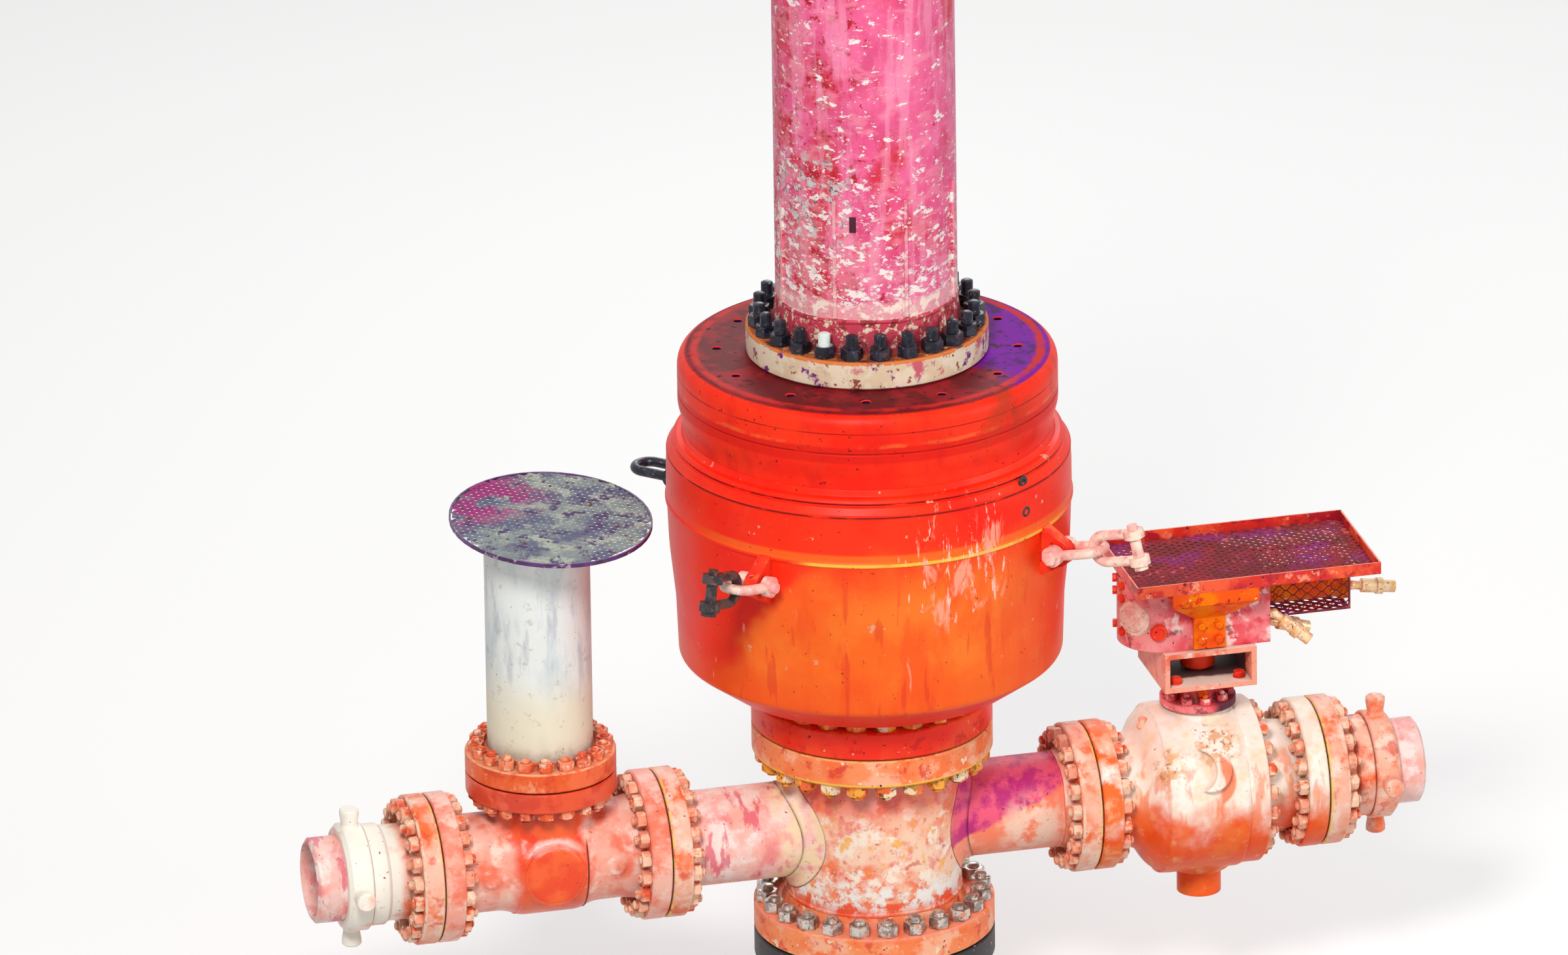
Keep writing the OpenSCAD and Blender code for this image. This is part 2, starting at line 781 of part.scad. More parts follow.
// Valve body with its left flange, from the left face to the closure's seam
module valve_body() {
    half = valve_run / 2;
    seam = half + valve_half - closure_t;
    shoulder = half - valve_half;
    color(faded) difference() {
        union() {
            along_x(right_reach, 1) rotate_extrude()
                polygon(concat([[0, 0]], line_rim(),
                    [[valve_neck_r, line_flange_t], [valve_neck_r, shoulder - valve_taper]],
                    [for (a = [-75 : 15 : 0]) [valve_r - valve_round + valve_round * cos(a),
                        shoulder + valve_taper + valve_taper * sin(a)]],
                    [[valve_r, seam], [0, seam]]));
            translate([valve_x, 0, line_z]) cylinder(d = bonnet_d, h = valve_r + bonnet_out);
            translate([valve_x - crescent_shift, 0, line_z]) rotate([90 - crescent_turn, 0, 0])
                translate([0, 0, valve_r - crescent_t / 2]) linear_extrude(crescent_t) difference() {
                    circle(d = crescent_d);
                    translate([-crescent_d / 3, 0]) circle(d = crescent_d);
                }
        }
        along_x(right_reach - cut, 1) cylinder(d = line_bore, h = valve_run);
        translate([valve_x, 0, line_z]) sphere(r = ball_r + ball_gap);
        along_x(valve_x, 1) cylinder(r = ball_r + ball_gap, h = valve_run / 2);
        translate([valve_x, 0, line_z]) cylinder(d = stem_d + 2 * stem_gap, h = valve_r * 2);
        along_x(right_reach, 1) line_holes();
    }
}

// Bolted closure with the right flange
module valve_closure() {
    half = valve_run / 2;
    closure_end = half - valve_half;
    seam = half - valve_half + closure_t;
    rim_r = valve_r - closure_step;
    arc_steps = 4;
    arc_start = acos((half - seam) / (ball_r + ball_gap));
    arc_end = asin(line_bore / 2 / (ball_r + ball_gap));
    arc_step = (arc_start - arc_end) / arc_steps;
    seat_r = (ball_r + ball_gap) / cos(arc_step / 2);
    color(faded) along_x(right_end_x, -1) difference() {
        rotate_extrude()
            polygon(concat([[line_bore / 2, 0]], line_rim(),
                [[valve_neck_r, line_flange_t], [valve_neck_r + line_hub_step, closure_end],
                    [rim_r - edge, closure_end], [rim_r, closure_end + edge], [rim_r, seam]],
                [for (i = [0 : arc_steps - 1])
                    [seat_r * sin(arc_start - i * arc_step), half - seat_r * cos(arc_start - i * arc_step)]],
                [[line_bore / 2, half - seat_r * cos(arc_end)]]));
        line_holes();
    }
}

module valve_ball() {
    flat = sqrt(pow(ball_r, 2) - pow(line_bore / 2, 2)) - edge / 2;
    color(pale) translate([valve_x, 0, line_z]) difference() {
        intersection() {
            sphere(r = ball_r);
            cube([2 * flat, 2 * ball_r + cut, 2 * ball_r + cut], center = true);
        }
        rotate([0, 90, 0]) cylinder(d = line_bore, h = 3 * ball_r, center = true);
        translate([0, 0, ball_r - stem_seat]) cylinder(d = stem_d, h = 2 * stem_seat);
    }
}

// Stem from the ball up through its housing, with the coupling inside the bracket
module valve_stem() {
    foot_z = line_z + ball_r - stem_seat;
    coupling_z = bracket_z + bracket_wall + coupling_gap;
    color(well_red) union() {
        translate([valve_x, 0, foot_z]) cylinder(d = stem_d, h = actuator_z + stem_reach - foot_z);
        translate([valve_x, 0, coupling_z])
            cylinder(d = coupling_d, h = bracket_h - 2 * bracket_wall - 2 * coupling_gap);
    }
}

module stem_housing() {
    foot = valve_r + bonnet_out;
    color(rose) translate([valve_x, 0, line_z + foot]) difference() {
        union() {
            cylinder(d = housing_d, h = housing_z - foot);
            cylinder(d = housing_flange_d, h = housing_flange_t);
        }
        translate([0, 0, -cut]) cylinder(d = stem_d + 2 * stem_gap, h = housing_z);
    }
}

module lower_trunnion() {
    color(orange) difference() {
        translate([valve_x, 0, line_z - trunnion_z]) cylinder(d = trunnion_d, h = trunnion_z - ball_r);
        along_x(right_reach, 1) cylinder(r = valve_r, h = valve_run);
    }
}

module actuator_bracket() {
    color(orange) translate([valve_x, 0, bracket_z]) difference() {
        translate([-bracket_w / 2, -bracket_d / 2, 0]) cube([bracket_w, bracket_d, bracket_h]);
        translate([-bracket_w / 2 + bracket_wall, -bracket_d / 2 - cut, bracket_wall])
            cube([bracket_w - 2 * bracket_wall, bracket_d + 2 * cut, bracket_h - 2 * bracket_wall]);
        translate([0, 0, -cut]) cylinder(d = stem_d + 2 * stem_gap, h = bracket_h + 2 * cut);
    }
}

module actuator_housing() {
    round_x = -actuator_w / 2 + actuator_d / 2 - actuator_set;
    color(rose) translate([valve_x, 0, actuator_z]) difference() {
        linear_extrude(actuator_h) union() {
            translate([round_x, 0]) circle(d = actuator_d);
            translate([round_x, -actuator_d / 2]) square([actuator_w / 2 - round_x, actuator_d]);
        }
        translate([0, 0, -cut]) cylinder(d = stem_d + 2 * stem_gap, h = stem_reach + 2 * cut);
    }
}

module hydraulic_cylinder() {
    ring_od = ram_d + 2 * ram_ring_out;
    color(well_red) translate([housing_end_x, 0, actuator_z + ram_z]) rotate([0, 90, 0]) union() {
        cylinder(d = ram_d, h = ram_l);
        cylinder(d = ring_od, h = ram_ring_w);
        translate([0, 0, ram_l - ram_ring_w]) cylinder(d = ring_od, h = ram_ring_w);
    }
}

module cylinder_guard() {
    half = ram_d / 2 + guard_gap;
    top = platform_z - actuator_z - ram_z;
    color(orange) translate([housing_end_x, 0, actuator_z + ram_z]) difference() {
        translate([0, -half - guard_t, -half - guard_t])
            cube([ram_l, 2 * half + 2 * guard_t, top + half + guard_t]);
        translate([-cut, -half, -half]) cube([ram_l + 2 * cut, 2 * half, top + half + cut]);
    }
}

// Neck plate bolted to the housing, with a wide apron that slants out to the platform's rim
module hanger() {
    foot_z = actuator_z + edge;
    neck_top = actuator_z + hanger_neck_h;
    lip_z = platform_z - hanger_lip_h;
    neck_y = -actuator_d / 2 - hanger_t;
    rim_y = -platform_d / 2;
    union() {
        translate([-hanger_neck_w / 2, neck_y, foot_z])
            cube([hanger_neck_w, hanger_t, neck_top + edge - foot_z]);
        hull() {
            translate([-hanger_neck_w / 2, neck_y, neck_top]) cube([hanger_neck_w, hanger_t, cut]);
            translate([-hanger_top_w / 2, rim_y, lip_z]) cube([hanger_top_w, hanger_t, cut]);
        }
        translate([-hanger_top_w / 2, rim_y, lip_z]) cube([hanger_top_w, hanger_t, hanger_lip_h]);
    }
}

module platform_hanger() {
    color(orange) translate([valve_x, 0, 0]) {
        hanger();
        rotate([0, 0, 180]) hanger();
    }
}

module platform_frame() {
    color(well_red) translate([valve_x + platform_shift - platform_w / 2, -platform_d / 2, platform_z])
        difference() {
            cube([platform_w, platform_d, angle_leg]);
            translate([angle_t, angle_t, angle_t])
                cube([platform_w - 2 * angle_t, platform_d - 2 * angle_t, angle_leg]);
            translate([angle_leg, angle_leg, -cut])
                cube([platform_w - 2 * angle_leg, platform_d - 2 * angle_leg, angle_leg]);
        }
}

module platform_mesh() {
    color([0.6, 0.12, 0.12])
        translate([valve_x + platform_shift - platform_w / 2 + angle_t, -platform_d / 2 + angle_t,
            platform_z + angle_t])
            cube([platform_w - 2 * angle_t, platform_d - 2 * angle_t, mesh_t]);
}

// Quick coupling on a short elbow: a port along +X, then the coupling turned down by the given angle
module quick_coupling(turn, drop) {
    sleeve_z = coupling_tube_l;
    ring_z = sleeve_z + sleeve_l;
    end_z = ring_z + ring_l;
    rotate([0, 90, 0]) cylinder(d = port_d, h = port_l);
    translate([port_l, 0, 0]) {
        sphere(d = port_d + 4);
        rotate([0, drop, turn]) {
            cylinder(d = port_d, h = sleeve_z);
            translate([0, 0, sleeve_z]) cylinder(d = sleeve_d, h = sleeve_l);
            translate([0, 0, ring_z]) cylinder(d = ring_d, h = ring_l);
            translate([0, 0, end_z]) cylinder(d = hose_end_d, h = hose_end_l);
        }
    }
}

// Two ports on the housing's right side and one on the cylinder's end
module hose_couplings() {
    front_y = -actuator_d / 3;
    color(brass) {
        translate([housing_end_x, front_y, actuator_z + ram_z - ram_d / 2]) quick_coupling(-20, 128);
        translate([housing_end_x, front_y / 2 + port_d / 3, actuator_z + port_d]) quick_coupling(10, 108);
        translate([housing_end_x + ram_l, 0, actuator_z + ram_z - ram_d / 4]) quick_coupling(0, 98);
    }
}

// Shackle with its pin on the Y axis through the origin and its bow toward +X
module shackle() {
    arm_y = jaw_w / 2 + bar_d / 2;
    crown = bow_in - jaw_w / 2;
    lug_t = bar_d - 4;
    span = bow_in + 2 * bar_d;
    union() {
        for (side = [-1, 1]) {
            translate([0, side * arm_y, 0]) rotate([90, 0, 0])
                cylinder(d = shackle_lug_d, h = lug_t, center = true);
            translate([0, side * arm_y, 0]) rotate([0, 90, 0]) cylinder(d = bar_d, h = crown);
        }
        translate([crown, 0, 0]) intersection() {
            rotate_extrude() translate([arm_y, 0]) circle(d = bar_d);
            translate([0, -span, -span / 2]) cube([span, 2 * span, span]);
        }
        rotate([90, 0, 0]) cylinder(d = pin_d, h = 2 * arm_y, center = true);
        translate([0, -arm_y - lug_t / 2, 0]) rotate([90, 0, 0])
            cylinder(d = pin_head_d, h = pin_head_h, $fn = 6);
        translate([0, arm_y + lug_t / 2 + pin_head_h, 0]) rotate([90, 0, 0])
            cylinder(d = pin_d - 4, h = pin_head_h);
    }
}

// Places a held out shackle at the eye that points in the given direction
module at_eye(turn, tilt) {
    rotate([0, 0, turn]) translate([eye_r, 0, eyes_z]) rotate([0, -tilt, 0]) children();
}

// Second shackle, hooked into the bow of the first and turned a quarter round
module hooked_link() {
    translate([2 * bow_in - link_gap, 0, 0]) rotate([90, 0, 0]) mirror([1, 0, 0]) shackle();
}

module front_right_shackle() {
    color(faded) at_eye(-45, shackle_tilt) shackle();
}

module front_right_link() {
    color(faded) at_eye(-45, shackle_tilt) hooked_link();
}

module front_left_shackle() {
    color(faded) at_eye(-135, shackle_tilt) shackle();
}

module front_left_link() {
    color(steel) at_eye(-135, shackle_tilt) hooked_link();
}

module back_left_shackle() {
    color(dark) at_eye(135, 0) shackle();
}

module back_right_shackle() {
    color(dark) at_eye(45, 0) shackle();
}

casing_base_flange();
casing_neck();
casing_top_flange();
spool_base_flange();
spool_barrel();
spool_top_flange();
left_outlet_pipe();
left_outlet_flange();
right_outlet_pipe();
right_outlet_flange();
preventer_base_flange();
preventer_body();
preventer_cap();
packing_unit();
lifting_eyes();
riser_base_flange();
riser_pipe();
riser_top_flange();
branch_tee();
branch_flange();
branch_cylinder();
cylinder_end_plate();
step_rim();
step_mesh();
left_line_flange();
left_union_nut();
left_line_tail();
right_line_flange();
right_union_nut();
right_line_tail();
valve_body();
valve_closure();
valve_ball();
valve_stem();
stem_housing();
lower_trunnion();
actuator_bracket();
actuator_housing();
hydraulic_cylinder();
cylinder_guard();
platform_hanger();
platform_frame();
platform_mesh();
hose_couplings();
front_right_shackle();
front_right_link();
front_left_shackle();
front_left_link();
back_left_shackle();
back_right_shackle();
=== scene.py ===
"""Looks of an oil wellhead stack: weathered paint, studs and nuts, welds, expanded metal, studio."""
import math
import random

import bpy
import bmesh
from mathutils import Matrix, Vector


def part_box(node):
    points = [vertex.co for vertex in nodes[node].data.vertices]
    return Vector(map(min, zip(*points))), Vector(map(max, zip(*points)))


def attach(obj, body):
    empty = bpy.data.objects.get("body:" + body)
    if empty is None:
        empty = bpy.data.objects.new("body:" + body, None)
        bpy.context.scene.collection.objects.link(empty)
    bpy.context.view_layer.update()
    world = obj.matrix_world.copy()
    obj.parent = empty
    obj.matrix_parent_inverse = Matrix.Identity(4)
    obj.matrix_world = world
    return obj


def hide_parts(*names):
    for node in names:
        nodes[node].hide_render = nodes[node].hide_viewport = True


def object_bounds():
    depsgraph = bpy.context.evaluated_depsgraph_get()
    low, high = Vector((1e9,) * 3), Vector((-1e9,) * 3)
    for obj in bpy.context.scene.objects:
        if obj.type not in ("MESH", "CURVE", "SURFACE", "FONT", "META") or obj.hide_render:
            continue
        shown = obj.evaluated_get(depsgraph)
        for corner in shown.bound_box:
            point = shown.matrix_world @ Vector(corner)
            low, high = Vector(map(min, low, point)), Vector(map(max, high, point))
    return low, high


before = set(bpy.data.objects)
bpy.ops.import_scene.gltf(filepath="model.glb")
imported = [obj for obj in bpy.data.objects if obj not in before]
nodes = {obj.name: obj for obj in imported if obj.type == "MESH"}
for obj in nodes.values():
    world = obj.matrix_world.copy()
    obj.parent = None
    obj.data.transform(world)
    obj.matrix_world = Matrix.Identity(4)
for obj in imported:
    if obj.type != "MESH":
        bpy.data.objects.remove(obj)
cad_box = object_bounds()
STACK = "stack"


# Places and sizes taken from the frame, in metres

def low(node):
    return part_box(node)[0]


def high(node):
    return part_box(node)[1]


def middle(node):
    return (low(node) + high(node)) / 2


SPOOL_Z = low("spool_base_flange").z
PREVENTER_Z = low("preventer_base_flange").z
BODY_Z = low("preventer_body").z
BELT_Z = PREVENTER_Z + 0.81
CAP_Z = low("preventer_cap").z
RISER_Z = low("riser_base_flange").z
LINE_Z = middle("left_outlet_flange").z
BRANCH_Z = low("branch_flange").z
CYLINDER_Z = low("branch_cylinder").z
STEP_Z = low("step_mesh").z
BRACKET_Z = low("actuator_bracket").z
ACTUATOR_Z = low("actuator_housing").z
TEE_X = middle("branch_tee").x
LEFT_END_X = low("branch_tee").x
LEFT_FACE_X = high("branch_tee").x
RIGHT_FACE_X = low("valve_body").x
RIGHT_END_X = high("valve_closure").x
VALVE_X = middle("valve_stem").x
SEAM_X = high("valve_body").x

# Radii of pipes, bore and cap, and standard sizes of the flanges' studs and nuts, in metres
RISER_R = 0.3048
BARREL_R = 0.296
OUTLET_R = 0.162
CYLINDER_R = 0.1778
BORE_R = 0.27
CAP_R = 0.637
CAP_FOOT_R = 0.619
WELL = {"t": 0.0984, "circle": 0.7239, "count": 24, "stud": 0.0413, "nut": 0.065, "nut_h": 0.0405}
LINE = {"t": 0.0714, "circle": 0.4318, "count": 20, "stud": 0.03175, "nut": 0.0508, "nut_h": 0.031}
CLOSURE = {"t": 0.072, "circle": 0.486, "count": 20, "stud": 0.0286, "nut": 0.046, "nut_h": 0.028}
LINE_OD = 0.508
THREAD_PITCH = 0.00318

# Edges that turn by more than this stay sharp
CREASE = math.radians(35)


# Shapes: each is a list of vertices and a list of faces

def loop_faces(steps, count):
    """Faces between steps closed sections of count points each, the last one joined to the first."""
    faces = []
    for i in range(steps):
        a = i * count
        b = (i + 1) % steps * count
        faces += [(a + k, b + k, b + (k + 1) % count, a + (k + 1) % count) for k in range(count)]
    return faces


def lathe(outline, steps=96):
    """Turns a closed outline of (radius, height) points round the Z axis."""
    verts = []
    for i in range(steps):
        turn = 2 * math.pi * i / steps
        verts += [Vector((r * math.cos(turn), r * math.sin(turn), z)) for r, z in outline]
    return verts, loop_faces(steps, len(outline))


def rounded(corners, steps=4):
    """Outline through (radius, height, rounding) corners, each one rounded off by that much."""
    outline = []
    for i, (r, z, rounding) in enumerate(corners):
        corner = Vector((r, z))
        if not rounding:
            outline.append((r, z))
            continue
        before = corner + (Vector(corners[i - 1][:2]) - corner).normalized() * rounding
        after = corner + (Vector(corners[(i + 1) % len(corners)][:2]) - corner).normalized() * rounding
        for k in range(steps + 1):
            t = k / steps
            point = before * (1 - t) ** 2 + corner * 2 * t * (1 - t) + after * t ** 2
            outline.append((point.x, point.y))
    return outline


def knob(corners, steps=32, dome=0.0, arc=3):
    """Turned solid: its outline starts and ends on the axis, where its tip is higher by the dome."""
    foot = (0, corners[0][1], 0)
    tip = (0, corners[-1][1] + dome, 0)
    return lathe(rounded([foot] + corners + [tip], arc), steps)


def hex_nut(across, height, bore, steps=24):
    """Hexagonal nut with both ends chamfered, its washer face on z = 0."""
    flat = across / 2
    pad = flat * 0.96
    verts = []
    for i in range(steps):
        turn = 2 * math.pi * i / steps
        corner = (turn + math.pi / 6) % (math.pi / 3) - math.pi / 6
        reach = flat / math.cos(corner)
        slope = (reach - pad) * 0.58
        outline = ((bore, 0), (pad, 0), (reach, slope), (reach, height - slope), (pad, height),
                   (bore + 0.002, height), (bore, height - 0.002))
        verts += [Vector((r * math.cos(turn), r * math.sin(turn), z)) for r, z in outline]
    return verts, loop_faces(steps, 7)


def stud_end(diameter, length, dome=0.004, steps=16):
    """Threaded end of a stud, from inside its nut up to its slightly domed tip."""
    radius = diameter / 2
    turns = max(2, int(length / THREAD_PITCH))
    outline = [(0, 0)]
    for i in range(turns):
        z = length * i / turns
        outline.append((radius, z + THREAD_PITCH * 0.25))
        outline.append((radius - THREAD_PITCH * 0.5, z + THREAD_PITCH * 0.75))
    outline += [(radius * 0.86, length), (radius * 0.55, length + dome * 0.75), (0, length + dome)]
    return lathe(outline, steps)


def hex_bolt(across, height, washer=0.0):
    """Head of a hexagonal bolt on its washer."""
    verts, faces = hex_nut(across, height, 0.0004, 12)
    verts = [v + Vector((0, 0, washer)) for v in verts]
    if washer:
        disc = lathe([(0, 0), (across * 0.62, 0), (across * 0.62, washer * 0.8), (across * 0.6, washer),
                      (0, washer)], 20)
        faces = faces + [tuple(i + len(verts) for i in face) for face in disc[1]]
        verts = verts + disc[0]
    return verts, faces


def weld_bead(radius, size, seed, steps=288):
    """Rippled bead of weld round a pipe of that radius, in the plane z = 0."""
    rng = random.Random(seed)
    waves = [rng.uniform(0, 2 * math.pi) for _ in range(3)]
    verts = []
    count = 7
    for i in range(steps):
        turn = 2 * math.pi * i / steps
        swell = 1 + 0.12 * math.sin(7 * turn + waves[0]) + 0.08 * math.sin(19 * turn + waves[1])
        ripple = 0.1 * abs(math.sin(steps / 6 * turn + waves[2]))
        reach = size * (swell + ripple)
        drift = size * 0.25 * math.sin(5 * turn + waves[1])
        for k in range(count):
            side = math.pi * (k / (count - 1) - 0.5)
            r = radius - 0.002 + reach * 0.62 * math.cos(side)
            verts.append(Vector((r * math.cos(turn), r * math.sin(turn), drift + reach * math.sin(side))))
    return verts, loop_faces(steps, count)


def bar(size, rounding=0.001):
    """Box centred on the origin with its edges chamfered."""
    mesh = bmesh.new()
    bmesh.ops.create_cube(mesh, size=1)
    bmesh.ops.scale(mesh, vec=Vector(size), verts=mesh.verts)
    bmesh.ops.bevel(mesh, geom=mesh.edges[:], offset=rounding, segments=2, affect="EDGES", profile=0.5)
    mesh.verts.index_update()
    shape = [v.co.copy() for v in mesh.verts], [tuple(v.index for v in f.verts) for f in mesh.faces]
    mesh.free()
    return shape


def strand(points, across, thick, tilt=math.radians(28)):
    """Flat strand of expanded metal through the points, leaning by the tilt about its own run."""
    verts = []
    faces = []
    last = len(points) - 1
    for i, point in enumerate(points):
        run = (points[min(i + 1, last)] - points[max(i - 1, 0)]).normalized()
        side = Vector((-run.y, run.x, 0))
        wide = (side * math.cos(tilt) + Vector((0, 0, math.sin(tilt)))) * across / 2
        deep = (side * -math.sin(tilt) + Vector((0, 0, math.cos(tilt)))) * thick / 2
        verts += [point + wide + deep, point + wide - deep, point - wide - deep, point - wide + deep]
    for a in range(0, 4 * last, 4):
        faces += [(a + k, a + 4 + k, a + 4 + (k + 1) % 4, a + (k + 1) % 4) for k in range(4)]
    faces += [(0, 1, 2, 3), tuple(4 * last + k for k in (3, 2, 1, 0))]
    return verts, faces


def expanded_sheet(width, depth, oval, long_way=0.042, short_way=0.03, across=0.0092, thick=0.003):
    """Strands of a sheet of expanded metal in the plane z = 0, with an oval or a straight edge."""
    margin = 0.002

    def inside(x, y):
        if oval:
            return (2 * x / width) ** 2 + (2 * y / depth) ** 2 < 0.998
        return abs(x) < width / 2 - margin and abs(y) < depth / 2 - margin

    shapes = []
    bond = long_way * 0.1
    overlap = 0.0012
    for row in range(-1, int(depth / (short_way / 2)) + 2):
        path = []
        for column in range(-1, int(width / (long_way / 2)) + 2):
            x = (column * long_way - width) / 2
            y = (row * short_way - depth) / 2
            y += short_way / 2 - overlap if (row + column) % 2 else overlap
            path += [Vector((x - bond, y, 0)), Vector((x + bond, y, 0))]
        run = []
        for point in path + [None]:
            if point is not None and inside(point.x, point.y):
                run.append(point)
                continue
            if len(run) > 1:
                shapes.append(strand(run, across, thick))
            run = []
    return shapes


class Batch:
    """Many small shapes gathered into one piece."""

    def __init__(self):
        self.verts = []
        self.faces = []

    def add(self, shape, matrix=Matrix()):
        start = len(self.verts)
        self.verts += [matrix @ v for v in shape[0]]
        self.faces += [tuple(i + start for i in face) for face in shape[1]]
        return self

    def build(self, name, paint, slot=None, replaces=()):
        """Makes the piece, smooth except at sharp edges, and lets it ride with the stack."""
        mesh = bpy.data.meshes.new(name)
        mesh.from_pydata(self.verts, [], self.faces)
        shape = bmesh.new()
        shape.from_mesh(mesh)
        bmesh.ops.remove_doubles(shape, verts=shape.verts, dist=1e-6)
        bmesh.ops.recalc_face_normals(shape, faces=shape.faces)
        shape.to_mesh(mesh)
        shape.free()
        mesh.polygons.foreach_set("use_smooth", [True] * len(mesh.polygons))
        mesh.set_sharp_from_angle(angle=CREASE)
        mesh.materials.append(paints[paint])
        piece = bpy.data.objects.new(name, mesh)
        bpy.context.scene.collection.objects.link(piece)
        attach(piece, STACK)
        if replaces:
            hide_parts(*replaces)
        return piece


# Places: each is a matrix that turns a shape's +Z and sets it down

def placed(x, y, z, turn=0.0, axis="Z"):
    """Sets a shape down there, turned about one of its axes."""
    return Matrix.Translation((x, y, z)) @ Matrix.Rotation(turn, 4, axis)


def along_x(x, side):
    """Turns +Z to +X or -X, with the origin at that place on the lines' axis."""
    return placed(x, 0, LINE_Z, side * math.pi / 2, "Y")


def along_y(x, y, z, side):
    """Turns +Z to the back or, where side is -1, to the front."""
    return placed(x, y, z, -side * math.pi / 2, "X")


def up_from(z, side=1, x=0.0):
    """Places a shape on the stack's axis, or on another upright one, facing up or down."""
    return placed(x, 0, z, 0 if side > 0 else math.pi, "X")


def outward(degrees, radius, z, x=0.0):
    """Turns +Z outward from an upright axis in that direction."""
    turn = math.radians(degrees)
    place = placed(x + radius * math.cos(turn), radius * math.sin(turn), z, turn)
    return place @ Matrix.Rotation(math.pi / 2, 4, "Y")


def circle(count, radius, z=0.0, shift=0.5):
    """Places round the Z axis, the first one turned by the shift's share of a step."""
    for i in range(count):
        yield Matrix.Rotation((i + shift) * 2 * math.pi / count, 4, "Z") @ Matrix.Translation((radius, 0, z))


# Materials

def linear(colour):
    """Linear colour of an sRGB one given in 0 to 255."""
    parts = [c / 255 for c in colour]
    return tuple(c / 12.92 if c <= 0.04045 else ((c + 0.055) / 1.055) ** 2.4 for c in parts) + (1.0,)


class Nodes:
    """The node tree of a material or a world, emptied and built anew."""

    def __init__(self, owner):
        owner.use_nodes = True
        self.tree = owner.node_tree
        self.tree.nodes.clear()

    def node(self, kind, **settings):
        node = self.tree.nodes.new(kind)
        for key, value in settings.items():
            setattr(node, key, value)
        return node

    def feed(self, value, socket):
        if isinstance(value, bpy.types.NodeSocket):
            self.tree.links.new(value, socket)
        else:
            socket.default_value = value

    def calc(self, operation, *values):
        node = self.node("ShaderNodeMath", operation=operation)
        for value, socket in zip(values, node.inputs):
            self.feed(value, socket)
        return node.outputs[0]


